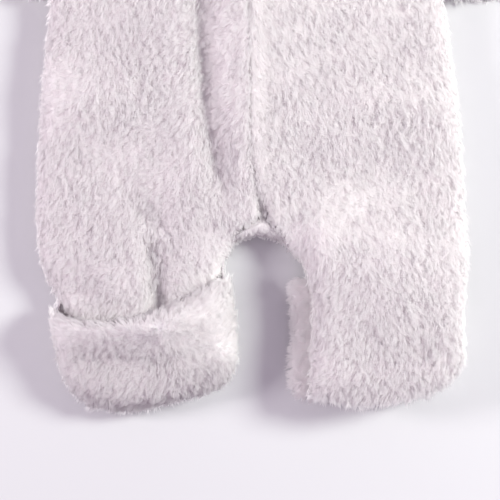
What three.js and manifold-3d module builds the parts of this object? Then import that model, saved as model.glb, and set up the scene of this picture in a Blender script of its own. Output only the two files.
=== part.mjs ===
// A baby's hooded romper in long-pile plush, lying on its back with the zip closed.
//
// Sizes are millimetres. +X runs to the wearer's left, +Y to the hood and +Z up, off the
// surface that the romper lies on. Inside this file y = 0 is the crotch and x = 0 the centre
// front; the last lines move the whole so that its origin is the middle of its base.
//
// Every cloth piece is one wall of backing and pile. Fronts and backs meet in the seam plane,
// half way up the lying garment, and each piece rolls over to that plane along its closed seams.

import * as THREE from 'three';
import { mergeVertices } from 'three/addons/utils/BufferGeometryUtils.js';
import Module from 'manifold-3d';

// ---- driving sizes ---------------------------------------------------------------------------

const SEAM_Z = 12;            // height of the seam plane, and so the thickness of the backs
const FRONT_RISE = 13;        // how far the fronts stand above the seam plane
const WALL = 12;              // backing and pile together
const GAP = 0.3;              // space kept between neighbouring pieces
const LIP = 0.8;              // thickness left where a wall has rolled over to its seam
const SEAM_ROLL = 17;         // how far in from a closed seam the roll begins
const CREASE_ROLL = 7;        // how far in from an open or butted edge the pile sinks
const CREASE_SINK = 0.4;      // share of the height lost at such an edge
const COVER_WALL = 11;        // wall of the turned foot cover
const COVER_RIM = 7;          // width of the cover's rim that meets the back
const COVER_EASE = 1.8;       // ease between the cover and the leg inside it
const COVER_THINNING = 3;     // how much thinner the cover's wall is at the foot
const HEM_THINNING = 0.45;    // share of its height that the right leg loses inside the cover
const COVER_LAYER = 6;        // one layer of the cover that is turned to the back
const SLIT = 1.5;             // half the slit left inside sleeves and hood
const ZIP_ROOM = 3;           // room for the zip between the fronts and the backs
const ZIP_HALF = 14;          // half the width of the zip tape
const TAPE_THICK = 1.2;       // woven tape
const CHAIN_HALF = 3;         // half the width of the zip's chain
const CHAIN_RISE = 1.2;       // how far the chain stands above the tape
const LEG_LIFT = 2 * COVER_LAYER + 2 * GAP;    // the left leg lies on its turned-back cover
const RAMP_EASE = 1.9;          // ease between a front and its back where the leg slopes up

const PLUSH = { color: 0xe3dadd, roughness: 1, metalness: 0 };
const COVER_PLUSH = { color: 0xd9cfd4, roughness: 1, metalness: 0 };
const TAPE = { color: 0xd8d0d4, roughness: 0.9, metalness: 0 };
const NICKEL = { color: 0xb9babd, roughness: 0.35, metalness: 0.9 };

// ---- outlines --------------------------------------------------------------------------------
// A row names a station across the piece: where it starts on the inner line (inseam, crotch,
// centre, neck) and where it ends on the outer line (side seam, armhole, shoulder).

// station, inner x, inner y, outer x, outer y
const FRONT_RIGHT = [
  ['hem, inside the cover', -28, -102, -129, -97],
  ['ankle', -28, -80, -135, -80],
  ['mouth of the cover', -28, -54, -137, -63],
  ['fold above the cover', -28, -40, -141, -51],
  ['calf', -23, -27, -150, -40],
  ['knee', -17.5, -15, -157, -24],
  ['inseam top', -15.5, -5, -160.5, -9],
  ['gusset corner', -10, 5, -162, 8],
  ['gusset side', 0, 13, -162, 22],
  ['crotch point', 8.85, 20, -161.5, 38],
  ['hip', 4.5, 38, -160.8, 56],
  ['rise', -0.15, 60, -160, 72],
  ['lower belly', -0.15, 82, -158.8, 90],
  ['belly', -0.15, 108, -157, 112],
  ['waist', -0.15, 140, -155, 144],
  ['ribs', -0.15, 178, -151.7, 182],
  ['chest', -0.15, 220, -149, 224],
  ['underarm', -0.15, 258, -147, 262],
  ['armhole low', -0.15, 288, -143, 284],
  ['armhole mid', -0.15, 314, -137, 304],
  ['zip opens', -3.6, 334, -131, 322],
  ['front neck', -8.5, 352, -126, 342],
  ['neck curve', -28, 362, -121, 358],
  ['shoulder', -50, 386, -118, 371],
];

const FRONT_LEFT = [
  ['hem', 43, -116, 151, -107],
  ['ankle', 44, -103, 160, -97],
  ['cuff line', 44, -84, 162, -82],
  ['shin', 45.5, -62, 160, -64],
  ['calf', 46, -42, 161.5, -46],
  ['knee', 41, -26, 163, -28],
  ['inseam top', 35, -13, 164, -9],
  ['gusset corner', 28, 0, 163.5, 8],
  ['gusset side', 19, 9, 162.8, 22],
  ['crotch point', 9.15, 20, 162.3, 38],
  ['hip', 4.8, 38, 161.4, 56],
  ['rise', 0.15, 60, 160.2, 72],
  ['lower belly', 0.15, 82, 158.6, 90],
  ['belly', 0.15, 108, 156.2, 112],
  ['waist', 0.15, 140, 152, 144],
  ['ribs', 0.15, 178, 146.5, 182],
  ['chest', 0.15, 220, 143.6, 224],
  ['underarm', 0.15, 258, 142, 262],
  ['armhole low', 0.15, 288, 139, 284],
  ['armhole mid', 0.15, 314, 134.5, 304],
  ['zip opens', 3.6, 334, 130, 322],
  ['front neck', 8.5, 352, 125.5, 342],
  ['neck curve', 28, 362, 121, 358],
  ['shoulder', 50, 386, 118, 371],
];

// The backs share the side seams of the fronts, from this station up.
const SHARED_FROM = 'gusset corner';

// station, inner x, inner y: the backs' own crotch and neck, from the shared station up
const BACK_INNER_RIGHT = [
  ['gusset corner', -9, -1.6], ['gusset side', 0, -0.4], ['crotch point', 8.85, 0], ['hip', 6, 30],
];
const BACK_INNER_LEFT = [
  ['gusset corner', 25, -3.4], ['gusset side', 17, -0.8], ['crotch point', 9.15, 0], ['hip', 6.3, 30],
];
const BACK_NECK = [['zip opens', 0.15, 334], ['front neck', 0.15, 356], ['neck curve', 0.15, 378]];

// station, inner x, inner y, outer x, outer y: leg ends below the shared station
const BACK_LEG_RIGHT = [
  ['back hem', -9.8, -88, -145, -91],
  ['shin', -11, -66, -148.5, -69],
  ['calf', -13.5, -46, -150, -54],
  ['fold', -15.5, -30, -148, -44],
  ['knee', -16.5, -17, -156, -26],
  ['inseam top', -15, -8, -160.5, -9],
];
const BACK_LEG_LEFT = [
  ['hem', 43, -116, 151, -107],
  ['ankle', 44, -103, 160, -97],
  ['cuff line', 44, -84, 162, -82],
  ['shin', 45.5, -62, 160, -64],
  ['calf', 46, -42, 161.5, -46],
  ['knee', 40, -26, 163, -28],
  ['inseam top', 33, -13, 164, -9],
];

const COVER_RIGHT_END = [
  ['bottom', -40, -118, -118, -126],
  ['bottom roll', -22, -112, -131, -119],
  ['corner', -12.5, -101, -139.5, -107],
];
const COVER_RIGHT_UPPER = [
  ...COVER_RIGHT_END,
  ['heel', -9.8, -88, -145, -91],
  ['instep', -11, -66, -148.5, -69],
  ['below the turned edge', -13, -46, -149.8, -61],
  ['turned edge', -14.5, -30, -150, -54],
];
const COVER_RIGHT_UNDER = [...COVER_RIGHT_END, ['back hem', -9.8, -88 - GAP, -145, -91 - GAP]];

const COVER_LEFT = [
  ['bottom', 38, -121, 146, -112],
  ['bottom corner', 32, -113, 153, -104],
  ['sole', 30.5, -94, 155, -88],
  ['middle', 33, -72, 155, -72],
  ['upper', 31, -50, 154, -52],
  ['top corner', 30.5, -36, 150, -40],
  ['mouth', 36, -30, 144, -33],
];

// How far the middle of a piece's first row hangs below its ends.
const COVER_RIGHT_SAG = 6.5;
const HEM_LEFT_SAG = 11;
const COVER_EDGE_DIP = 18;          // the turned edge dips across the leg,
const COVER_DIP_SKEW = 1.3;         // lowest towards the outer side

// Sleeves run from the armhole to the cuff's two corners.
const CUFF_RIGHT = { under: [-157, 183], over: [-230, 212] };
const CUFF_LEFT = { under: [153, 182], over: [231, 191] };
const SHOULDER_BULGE = 27;    // how far the outer edge of a sleeve rounds out between shoulder and cuff
const SLEEVE_STEPS = [0, 0.06, 0.2, 0.35, 0.5, 0.65, 0.8, 0.96, 1];

// station, face edge x, face edge y, outline x, outline y, centre back y; wearer's left, mirrored
const HOOD = [
  ['neck', 8.5, 352, 50, 386, 378],
  ['chin', 21, 371, 67, 397, 388],
  ['jaw', 39, 394, 89, 420, 404],
  ['cheek', 51, 424, 103, 451, 427],
  ['ear', 56, 456, 108, 484, 454],
  ['temple', 54, 488, 104, 520, 483],
  ['brow', 45, 515, 89, 553, 511],
  ['forehead', 28, 535, 62, 580, 537],
  ['top', 13, 543, 31, 593, 556],
  ['crown', 0.15, 545, 0.15, 597, 568],
];

// Shares of a row's length where a front or back has its columns. They lie closer together
// where the wall rolls over and where folds run along the closure.
const COLUMNS_RIGHT = [0, 0.012, 0.04, 0.08, 0.125, 0.165, 0.2, 0.235, 0.28, 0.35, 0.45, 0.56, 0.67, 0.78,
  0.87, 0.93, 0.97, 0.992, 1];
const COLUMNS_LEFT = [0, 0.012, 0.04, 0.085, 0.15, 0.23, 0.33, 0.44, 0.56, 0.67, 0.78, 0.87, 0.93, 0.97,
  0.992, 1];
const COLUMNS_BACK = [0, 0.015, 0.05, 0.11, 0.3, 0.5, 0.7, 0.87, 0.93, 0.97, 0.992, 1];
const COLUMNS_COVER = [0, 0.012, 0.045, 0.1, 0.17, 0.28, 0.4, 0.52, 0.64, 0.76, 0.86, 0.93, 0.97, 0.992, 1];

// ---- folds -----------------------------------------------------------------------------------
// name, depth (below zero for a trough), half width, then the points that the fold follows

const FRONT_FOLDS = [
  ['trough beside the closure', -6, 8, [-41, 270], [-37, 178], [-31, 118], [-28, 66], [-22, 48]],
  ['ridge along the closure', 2.6, 11, [-17, 300], [-15, 178], [-14, 100], [-8, 62]],
  ['hollow inside the right hip', -3, 10, [-62, 72], [-82, 50], [-78, 22]],
  ['hollow above the right knee', -2.6, 9, [-74, 34], [-60, 4], [-66, -14]],
  ['fold into the right cover', -7.5, 5, [-72, 14], [-71, -20], [-70, -56]],
  ['swell of the right thigh', 2.2, 20, [-112, 20], [-104, -24]],
  ['crease at the right side', -4.5, 7, [-146, -42], [-132, -33], [-122, -38]],
  ['puff over the right cover', 2.5, 9, [-100, -38], [-84, -40]],
  ['hollow at the left knee', -2.2, 12, [60, -40], [84, -58], [90, -88]],
  ['swell of the left thigh', 2, 22, [104, 20], [112, -40]],
  ['hollow above the left hem', -2.4, 10, [130, -78], [112, -100]],
  ['left hip trough', -2, 11, [40, 60], [70, 40], [104, 48]],
  ['waist trough, right', -2.2, 12, [-140, 150], [-104, 142], [-76, 156]],
  ['waist trough, left', -2.4, 12, [138, 128], [98, 140], [58, 132]],
  ['chest fold, left', -2.8, 10, [128, 236], [92, 220], [60, 232]],
  ['chest fold, right', -3, 10, [-132, 244], [-96, 232], [-66, 246]],
  ['shoulder fold, left', -2.4, 9, [108, 330], [84, 300], [74, 262]],
  ['shoulder fold, right', -2.6, 9, [-112, 326], [-88, 304], [-76, 274]],
];
const COVER_FOLDS = [
  ['rolled edge', 3, 7, [-18, -34], [-45, -50], [-78, -62], [-112, -68], [-146, -58]],
  ['hollow of the instep', -2.6, 13, [-40, -82], [-84, -92], [-122, -88]],
  ['dent near the inner corner', -2, 8, [-34, -104], [-52, -112]],
];
const SLEEVE_FOLDS = [
  ['right elbow, upper', -3.2, 9, [-152, 268], [-176, 270], [-204, 284]],
  ['right elbow, lower', -2.6, 8, [-160, 232], [-188, 234], [-220, 250]],
  ['right shoulder', -2.4, 9, [-150, 330], [-172, 312]],
  ['left elbow, upper', -3, 9, [148, 262], [172, 262], [200, 276]],
  ['left elbow, lower', -2.8, 8, [156, 226], [184, 222], [216, 236]],
  ['left shoulder', -2.4, 9, [148, 326], [170, 306]],
];
const HOOD_FOLDS = [
  ['cheek fold, left', -2.6, 9, [66, 414], [84, 440]],
  ['cheek fold, right', -2.8, 9, [-62, 408], [-86, 434]],
  ['temple fold, left', -2.2, 9, [70, 510], [92, 496]],
  ['temple fold, right', -2.2, 9, [-66, 522], [-92, 512]],
];

// ---- small maths -----------------------------------------------------------------------------

const lerp = (a, b, t) => a + (b - a) * t;
const clamp01 = (t) => Math.min(1, Math.max(0, t));
const smoothstep = (from, to, x) => {
  const t = clamp01((x - from) / (to - from));
  return t * t * (3 - 2 * t);
};
const mix2 = (a, b, t) => [lerp(a[0], b[0], t), lerp(a[1], b[1], t)];
const last = (list) => list[list.length - 1];
const mirrorX = ([x, y]) => [-x, y];

/** Distance in plan from a point to an open line of points. */
function distanceTo(line, x, y) {
  let best = Infinity;
  for (let i = 0; i + 1 < line.length; i += 1) {
    const [ax, ay] = line[i];
    const dx = line[i + 1][0] - ax;
    const dy = line[i + 1][1] - ay;
    const t = clamp01(((x - ax) * dx + (y - ay) * dy) / (dx * dx + dy * dy));
    best = Math.min(best, Math.hypot(x - ax - t * dx, y - ay - t * dy));
  }
  return best;
}

/** Quarter ellipse: 0 at the edge, 1 from `width` inwards. */
function roll(distance, width) {
  const t = 1 - clamp01(distance / width);
  return Math.sqrt(1 - t * t);
}

function foldHeight(folds, x, y) {
  let height = 0;
  for (const [, depth, halfWidth, ...line] of folds) {
    height += depth * Math.exp(-((distanceTo(line, x, y) / halfWidth) ** 2));
  }
  return height;
}

/** How far the left leg is lifted by the cover turned under it: a long ramp that keeps off the gusset. */
function lift(x, y) {
  const besideGusset = 22 * smoothstep(-27, -11, y);
  return LEG_LIFT * smoothstep(36, -29, y) * smoothstep(12, 30, x - besideGusset);
}

/** Height of the right leg above the seam plane: it thins to its hem, inside the cover. */
const rightLegRise = (y) => FRONT_RISE * (1 - HEM_THINNING * smoothstep(-66, -104, y));

/** Share of the full height left by a piece's closed seams and its sunk edges. */
function edgeShare({ closed = [], sunk = [] }, x, y) {
  let share = 1;
  for (const line of closed) share *= roll(distanceTo(line, x, y), SEAM_ROLL);
  for (const line of sunk) share *= 1 - CREASE_SINK * (1 - roll(distanceTo(line, x, y), CREASE_ROLL));
  return share;
}

// ---- meshes ----------------------------------------------------------------------------------

/** A closed wall between two grids of points, [row][column]; `wrap` joins the last column to the first. */
function wallBetween(outer, inner, wrap = false) {
  const rows = outer.length;
  const columns = outer[0].length;
  const positions = [...outer.flat(), ...inner.flat()].flat();
  const faces = [];
  const quad = (a, b, c, d) => faces.push(a, b, c, a, c, d);
  const out = (row, column) => row * columns + (column % columns);
  const inn = (row, column) => rows * columns + out(row, column);
  const spans = wrap ? columns : columns - 1;
  for (let r = 0; r + 1 < rows; r += 1) {
    for (let c = 0; c < spans; c += 1) {
      quad(out(r, c), out(r, c + 1), out(r + 1, c + 1), out(r + 1, c));
      quad(inn(r, c), inn(r + 1, c), inn(r + 1, c + 1), inn(r, c + 1));
    }
    if (!wrap) {
      quad(out(r, 0), out(r + 1, 0), inn(r + 1, 0), inn(r, 0));
      quad(out(r + 1, spans), out(r, spans), inn(r, spans), inn(r + 1, spans));
    }
  }
  for (let c = 0; c < spans; c += 1) {
    quad(out(0, c + 1), out(0, c), inn(0, c), inn(0, c + 1));
    quad(out(rows - 1, c), out(rows - 1, c + 1), inn(rows - 1, c + 1), inn(rows - 1, c));
  }
  const geometry = new THREE.BufferGeometry();
  geometry.setAttribute('position', new THREE.Float32BufferAttribute(positions, 3));
  geometry.setIndex(signedVolume(positions, faces) < 0 ? faces.reverse() : faces);
  geometry.computeVertexNormals();
  return geometry;
}

function signedVolume(positions, faces) {
  const [a, b, c] = [new THREE.Vector3(), new THREE.Vector3(), new THREE.Vector3()];
  let volume = 0;
  for (let i = 0; i < faces.length; i += 3) {
    a.fromArray(positions, 3 * faces[i]);
    b.fromArray(positions, 3 * faces[i + 1]);
    c.fromArray(positions, 3 * faces[i + 2]);
    volume += a.dot(b.cross(c));
  }
  return volume;
}

const romper = new THREE.Group();

function add(name, geometry, look) {
  const mesh = new THREE.Mesh(geometry, new THREE.MeshStandardMaterial(look));
  mesh.name = name;
  romper.add(mesh);
}

// ---- flat pieces -----------------------------------------------------------------------------

const innerLine = (rows) => rows.map(([, x, y]) => [x, y]);
const outerLine = (rows) => rows.map(([, , , x, y]) => [x, y]);
const upTo = (rows, station) => rows.slice(0, rows.findIndex(([name]) => name === station) + 1);
const from = (rows, station) => rows.slice(rows.findIndex(([name]) => name === station));
const rowLine = ([, ix, iy, ox, oy]) => [[ix, iy], [ox, oy]];

/** Plan points of a piece; the first row may sag and the last may dip between its ends. */
function planGrid(rows, columns, { sag = 0, dip = 0, skew = 1 } = {}) {
  return rows.map((row, index) => {
    const [start, end] = rowLine(row);
    const drop = (index === 0 ? sag : 0) + (index === rows.length - 1 ? dip : 0)
      + (index === 1 ? sag / 2 : 0) + (index === rows.length - 2 ? dip / 2 : 0);
    return columns.map((share) => {
      const [x, y] = mix2(start, end, share);
      return [x, y - drop * Math.sin(Math.PI * share ** skew)];
    });
  });
}

function flatPiece(name, grid, upper, lower, look = PLUSH) {
  const top = grid.map((row) => row.map(([x, y]) => [x, y, upper(x, y)]));
  const bottom = grid.map((row) => row.map(([x, y]) => [x, y, lower(x, y)]));
  add(name, wallBetween(top, bottom), look);
}

/** Room under the fronts for the zip. */
function zipRoom(x, y) {
  const centre = closureX(y);
  const besideZip = smoothstep(ZIP_HALF + 1, ZIP_HALF + 6, Math.abs(x - centre));
  return ZIP_ROOM * (1 - besideZip) * smoothstep(10, 30, y);
}

/** The closure swings to the crotch point over its lowest stretch. */
function closureX(y) {
  const line = from(upTo(FRONT_LEFT, 'rise'), 'crotch point');
  for (let i = 0; i + 1 < line.length; i += 1) {
    const [, x0, y0] = line[i];
    const [, x1, y1] = line[i + 1];
    if (y < y1) return lerp(x0, x1, clamp01((y - y0) / (y1 - y0))) - GAP / 2;
  }
  return 0;
}

function frontEdges(rows) {
  const inseam = innerLine(upTo(rows, 'inseam top'));
  const side = outerLine(upTo(rows, 'underarm'));
  return {
    closed: [inseam, side, rowLine(last(rows))],
    sunk: [
      innerLine(from(upTo(rows, 'crotch point'), 'inseam top')),
      innerLine(from(upTo(rows, 'zip opens'), 'crotch point')),
      innerLine(from(rows, 'zip opens')),
      outerLine(from(rows, 'underarm')),
    ],
  };
}

/** Upper surface of a front: lower at the neck, and without folds where the right cover hides it. */
function frontUpper(edges) {
  return (x, y) => {
    const neckFall = 3 * smoothstep(300, 350, y) * (1 - smoothstep(20, 60, Math.abs(x)));
    const shown = x < 0 ? smoothstep(-58, -42, y) : 1;
    const full = x < 0 ? rightLegRise(y) : FRONT_RISE;
    const rise = full - neckFall + shown * foldHeight(FRONT_FOLDS, x, y);
    return SEAM_Z + lift(x, y) + GAP / 2 + LIP + (rise - LIP) * edgeShare(edges, x, y);
  };
}

function frontLower(upper) {
  return (x, y) => {
    const ramp = lift(x, y) / LEG_LIFT;
    const seam = SEAM_Z + lift(x, y) + GAP / 2;
    const height = upper(x, y) - seam;
    const room = Math.max(zipRoom(x, y), 4 * RAMP_EASE * ramp * (1 - ramp));
    return seam + Math.max(0, height - WALL, Math.min(room, height - LIP));
  };
}

function makeFront(name, rows, columns, hemSag) {
  const edges = frontEdges(rows);
  if (hemSag) edges.sunk.push(planGrid(rows, columns, { sag: hemSag })[0]);
  const upper = frontUpper(edges);
  flatPiece(name, planGrid(rows, columns, { sag: hemSag }), upper, frontLower(upper));
}

/** A back's rows: its own leg, crotch and neck on the fronts' side seam. */
function backRows(frontRows, legRows, ownInner, side) {
  const own = new Map(ownInner.map(([name, x, y]) => [name, [x, y]]));
  for (const [name, x, y] of BACK_NECK) own.set(name, [side * x, y]);
  const body = from(frontRows, SHARED_FROM).map(([name, ix, iy, ox, oy]) => {
    const [x, y] = own.get(name) ?? [ix, iy];
    return [name, x, y, ox, oy];
  });
  return [...legRows, ...body];
}

function backLower(edges) {
  return (x, y) => lift(x, y) + (SEAM_Z - GAP / 2 - LIP) * (1 - edgeShare(edges, x, y));
}
const backUpper = (x, y) => SEAM_Z + lift(x, y) - GAP / 2;

function makeBack(name, rows, columns, hemSag) {
  const edges = {
    closed: [innerLine(upTo(rows, 'crotch point')), outerLine(upTo(rows, 'underarm')), rowLine(last(rows))],
  };
  flatPiece(name, planGrid(rows, columns, { sag: hemSag }), backLower(edges), backUpper);
}

// ---- foot covers -----------------------------------------------------------------------------

/** The right cover is turned over the front of the leg: its upper layer lies on the front. */
function makeCoverRight() {
  const grid = planGrid(COVER_RIGHT_UPPER, COLUMNS_COVER, {
    sag: COVER_RIGHT_SAG, dip: COVER_EDGE_DIP, skew: COVER_DIP_SKEW,
  });
  const outline = [innerLine(COVER_RIGHT_UPPER), outerLine(COVER_RIGHT_UPPER), grid[0]];
  const edges = { closed: outline, sunk: [last(grid)] };
  const upper = (x, y) => {
    const wall = COVER_WALL - COVER_THINNING * smoothstep(-66, -104, y);
    const rise = rightLegRise(y) + wall + foldHeight(COVER_FOLDS, x, y);
    return SEAM_Z + GAP / 2 + LIP + (rise - LIP) * edgeShare(edges, x, y);
  };
  const lower = (x, y) => {
    const inside = Math.min(...outline.map((line) => distanceTo(line, x, y))) - COVER_RIM;
    return SEAM_Z + GAP / 2 + (rightLegRise(y) + COVER_EASE) * roll(Math.max(0, inside), COVER_RIM);
  };
  flatPiece('foot_cover_right_upper', grid, upper, lower, COVER_PLUSH);

  const under = planGrid(COVER_RIGHT_UNDER, COLUMNS_BACK, { sag: COVER_RIGHT_SAG, skew: COVER_DIP_SKEW });
  const underEdges = { closed: [innerLine(COVER_RIGHT_UNDER), outerLine(COVER_RIGHT_UNDER), under[0]] };
  flatPiece('foot_cover_right_under', under, backUpper, backLower(underEdges), COVER_PLUSH);
}

/** The left cover is turned to the back: two layers lie under the leg. */
function makeCoverLeft() {
  const grid = planGrid(COVER_LEFT, COLUMNS_BACK, { sag: 3 });
  const outline = [innerLine(COVER_LEFT), outerLine(COVER_LEFT), grid[0], last(grid)];
  const swell = (x, y) => {
    const inside = Math.min(...outline.map((line) => distanceTo(line, x, y)));
    return LIP / 2 + (COVER_LAYER / 2 - LIP / 2) * roll(inside, COVER_LAYER);
  };
  const layer = (name, middle) => {
    flatPiece(name, grid, (x, y) => middle + swell(x, y), (x, y) => middle - swell(x, y), COVER_PLUSH);
  };
  layer('foot_cover_left_under', COVER_LAYER / 2);
  layer('foot_cover_left_upper', COVER_LAYER * 1.5 + GAP);
}

// ---- gusset ----------------------------------------------------------------------------------

// x, lower y, upper y: the upper edge keeps clear of the fronts
const GUSSET = [
  [-12.5, -3.6, -0.9], [-10, -2, 4], [0, -0.2, 12], [9, 0.2, 18.8], [19, -0.6, 8], [27, -3.2, 0.2],
  [30, -6.4, -4.6],
];
const GUSSET_RISE = 10.5;
const GUSSET_STEPS = [0, 0.12, 0.35, 0.65, 0.9, 1];
const GUSSET_ROLL = 8;

function makeGusset() {
  const crotch = GUSSET.map(([x, low]) => [x, low]);
  const seam = GUSSET.map(([x, , high]) => [x, high]);
  const grid = GUSSET_STEPS.map((t) => GUSSET.map(([x, low, high]) => [x, lerp(low, high, t)]));
  const upper = (x, y) => {
    const share = roll(distanceTo(crotch, x, y), GUSSET_ROLL)
      * (1 - CREASE_SINK * (1 - roll(distanceTo(seam, x, y), CREASE_ROLL)));
    return SEAM_Z + 2 * GAP + LIP + (GUSSET_RISE - LIP) * share;
  };
  flatPiece('crotch_gusset', grid, upper, () => SEAM_Z + 2 * GAP);
}

// ---- sleeves ---------------------------------------------------------------------------------

const lineLengths = (line) => line.slice(1).map(([x, y], i) => Math.hypot(x - line[i][0], y - line[i][1]));

/** Shares along a seam line: its own corners, and a few close to both ends where the wall rolls. */
function seamShares(line) {
  const lengths = lineLengths(line);
  const total = lengths.reduce((sum, length) => sum + length, 0);
  const corners = lengths.map((_, i) => lengths.slice(0, i).reduce((sum, length) => sum + length, 0));
  const rolls = [0.06, 0.22, 0.5].map((share) => share * SEAM_ROLL);
  const places = [...corners, ...rolls, ...rolls.map((place) => total - place), total];
  const sorted = places.sort((a, b) => a - b).filter((place, i) => i === 0 || place - places[i - 1] > 0.8);
  return sorted.map((place) => place / total);
}

function alongLine(line, share) {
  const lengths = lineLengths(line);
  let left = share * lengths.reduce((sum, length) => sum + length, 0);
  for (let i = 0; i < lengths.length; i += 1) {
    if (left <= lengths[i] || i === lengths.length - 1) return mix2(line[i], line[i + 1], left / lengths[i]);
    left -= lengths[i];
  }
  return last(line);
}

/** A flattened tube: the upper layer runs from `under` to `over`, the lower one back again. */
function makeSleeve(name, frontRows, cuff, side) {
  const armhole = outerLine(from(frontRows, 'underarm')).map(([x, y]) => [x + side * 2 * GAP, y - GAP]);
  const shares = seamShares(armhole);
  const shoulder = last(armhole);
  const reach = Math.hypot(cuff.over[0] - shoulder[0], cuff.over[1] - shoulder[1]);
  const outward = [(shoulder[1] - cuff.over[1]) / reach, side * (cuff.over[0] - shoulder[0]) / reach];
  const planAt = (share, t) => {
    const [x, y] = mix2(alongLine(armhole, share), mix2(cuff.under, cuff.over, share), t);
    const bulge = SHOULDER_BULGE * Math.sin(Math.PI * t ** 0.8) * share;
    return [x + side * bulge * outward[0], y + bulge * outward[1]];
  };
  const edge = (share) => SLEEVE_STEPS.map((t) => planAt(share, t));
  const edges = {
    closed: [edge(0), edge(1)],
    sunk: [armhole, [cuff.under, cuff.over]],
  };
  const rise = (x, y) => (FRONT_RISE - 1 + foldHeight(SLEEVE_FOLDS, x, y)) * edgeShare(edges, x, y);
  const drop = (x, y) => SEAM_Z * edgeShare({ closed: edges.closed }, x, y);
  const outer = [];
  const inner = [];
  for (const t of SLEEVE_STEPS) {
    const there = shares.map((share) => planAt(share, t));
    const width = Math.hypot(last(there)[0] - there[0][0], last(there)[1] - there[0][1]);
    const inset = COVER_WALL / width;
    const within = shares.map((share) => planAt(lerp(inset, 1 - inset, share), t));
    const slit = shares.map((share) => SLIT * Math.sin(Math.PI * share) ** 0.5);
    const middle = shares.slice(1, -1);
    outer.push([
      ...there.map(([x, y], i) => [x, y, SEAM_Z + (i === 0 || i === there.length - 1 ? 0 : rise(x, y))]),
      ...middle.map((_, i) => there[there.length - 2 - i]).map(([x, y]) => [x, y, SEAM_Z - drop(x, y)]),
    ]);
    inner.push([
      ...within.map(([x, y], i) => [x, y, SEAM_Z + slit[i]]),
      ...middle.map((_, i) => within.length - 2 - i).map((i) => [...within[i], SEAM_Z - slit[i]]),
    ]);
  }
  add(name, wallBetween(outer, inner, true), PLUSH);
}

// ---- hood ------------------------------------------------------------------------------------

/** Half the hood: an upper layer from the face edge to the outline, and the back layer in to the centre. */
function makeHood(name, side) {
  const turn = side > 0 ? (point) => point : mirrorX;
  const frontNeck = innerLine(from(FRONT_LEFT, 'front neck')).map(([x, y]) => [x, y + 2 * GAP]);
  const backNeck = [[50, 386], [0.15, 378]].map(([x, y]) => [x, y + 2 * GAP]);
  const upperShares = seamShares(frontNeck);
  const lowerShares = [0, 0.06, 0.16, 0.34, 0.6, 0.85, 1];
  const outline = HOOD.map(([, , , x, y]) => [x, y]);
  const faceEdge = HOOD.map(([, x, y]) => [x, y]);
  const upperAt = (index, share) => {
    if (index === 0) return alongLine(frontNeck, share);
    return mix2(faceEdge[index], outline[index], share);
  };
  const lowerAt = (index, share) => {
    if (index === 0) return alongLine(backNeck, share);
    return mix2(outline[index], [0.15, HOOD[index][5]], share);
  };
  const edges = { closed: [outline], sunk: [faceEdge, frontNeck] };
  const rise = (x, y) => (FRONT_RISE + foldHeight(HOOD_FOLDS, side * x, y)) * edgeShare(edges, x, y);
  const drop = (x, y) => SEAM_Z * edgeShare({ closed: [outline] }, x, y);
  const outer = [];
  const inner = [];
  HOOD.forEach((row, index) => {
    const span = Math.hypot(outline[index][0] - faceEdge[index][0], outline[index][1] - faceEdge[index][1]);
    const across = Math.hypot(outline[index][0], outline[index][1] - row[5]);
    const upperInset = Math.min(0.4, COVER_WALL / span);
    const lowerInset = Math.min(0.4, COVER_WALL / across);
    const place = ([x, y], z) => [...turn([x, y]), z];
    const upperOuter = upperShares.map((share) => upperAt(index, share));
    const lowerOuter = lowerShares.slice(1).map((share) => lowerAt(index, share));
    outer.push([
      ...upperOuter.map((p, i) => place(p, i === upperOuter.length - 1 ? SEAM_Z : SEAM_Z + rise(...p))),
      ...lowerOuter.map((p) => place(p, SEAM_Z - drop(...p))),
    ]);
    const innerUpper = upperShares.map((share) => [upperAt(index, share * (1 - upperInset)), SLIT * (1 - share)]);
    if (index === 0) innerUpper[innerUpper.length - 1][0] = lowerAt(0, lowerInset / 2);
    inner.push([
      ...innerUpper,
      ...lowerShares.slice(1).map((share) => [lowerAt(index, lerp(lowerInset, 1, share)), -SLIT * share]),
    ].map(([p, z]) => place(p, SEAM_Z + z)));
  });
  add(name, wallBetween(outer, inner), PLUSH);
}

// ---- zip -------------------------------------------------------------------------------------

const ZIP_Z = SEAM_Z + GAP;                     // underside of the tape, just above the backs
const ZIP_STOPS = { low: 34, high: 340 };
const SLIDER = { y: 341, width: 6.4, length: 11, height: 4.5, chamfer: 1.2 };
const BRIDGE = { width: 2.6, length: 8, height: 3.5, bar: 1.3 };
const PULL = { width: 5.8, length: 26, thick: 1.4, eyeWidth: 3.4, eyeEnd: 5.6, rest: THREE.MathUtils.degToRad(11) };

/** Tape with the chain as a rib along its middle, following the closure. */
function makeTape() {
  // across the tape: x from the middle, height above the tape's underside
  const section = [
    [-ZIP_HALF, TAPE_THICK], [-CHAIN_HALF - 1, TAPE_THICK], [-CHAIN_HALF, TAPE_THICK + CHAIN_RISE],
    [CHAIN_HALF, TAPE_THICK + CHAIN_RISE], [CHAIN_HALF + 1, TAPE_THICK], [ZIP_HALF, TAPE_THICK],
  ];
  const heights = [ZIP_STOPS.low, 48, 60, 140, 220, 290, ZIP_STOPS.high];
  const top = heights.map((y) => section.map(([x, z]) => [closureX(y) + x, y, ZIP_Z + z]));
  const bottom = heights.map((y) => section.map(([x]) => [closureX(y) + x, y, ZIP_Z]));
  add('zip_tape', wallBetween(top, bottom), TAPE);
}

const shapeOf = (points) => new THREE.Shape(points.map(([x, y]) => new THREE.Vector2(x, y)));

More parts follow.
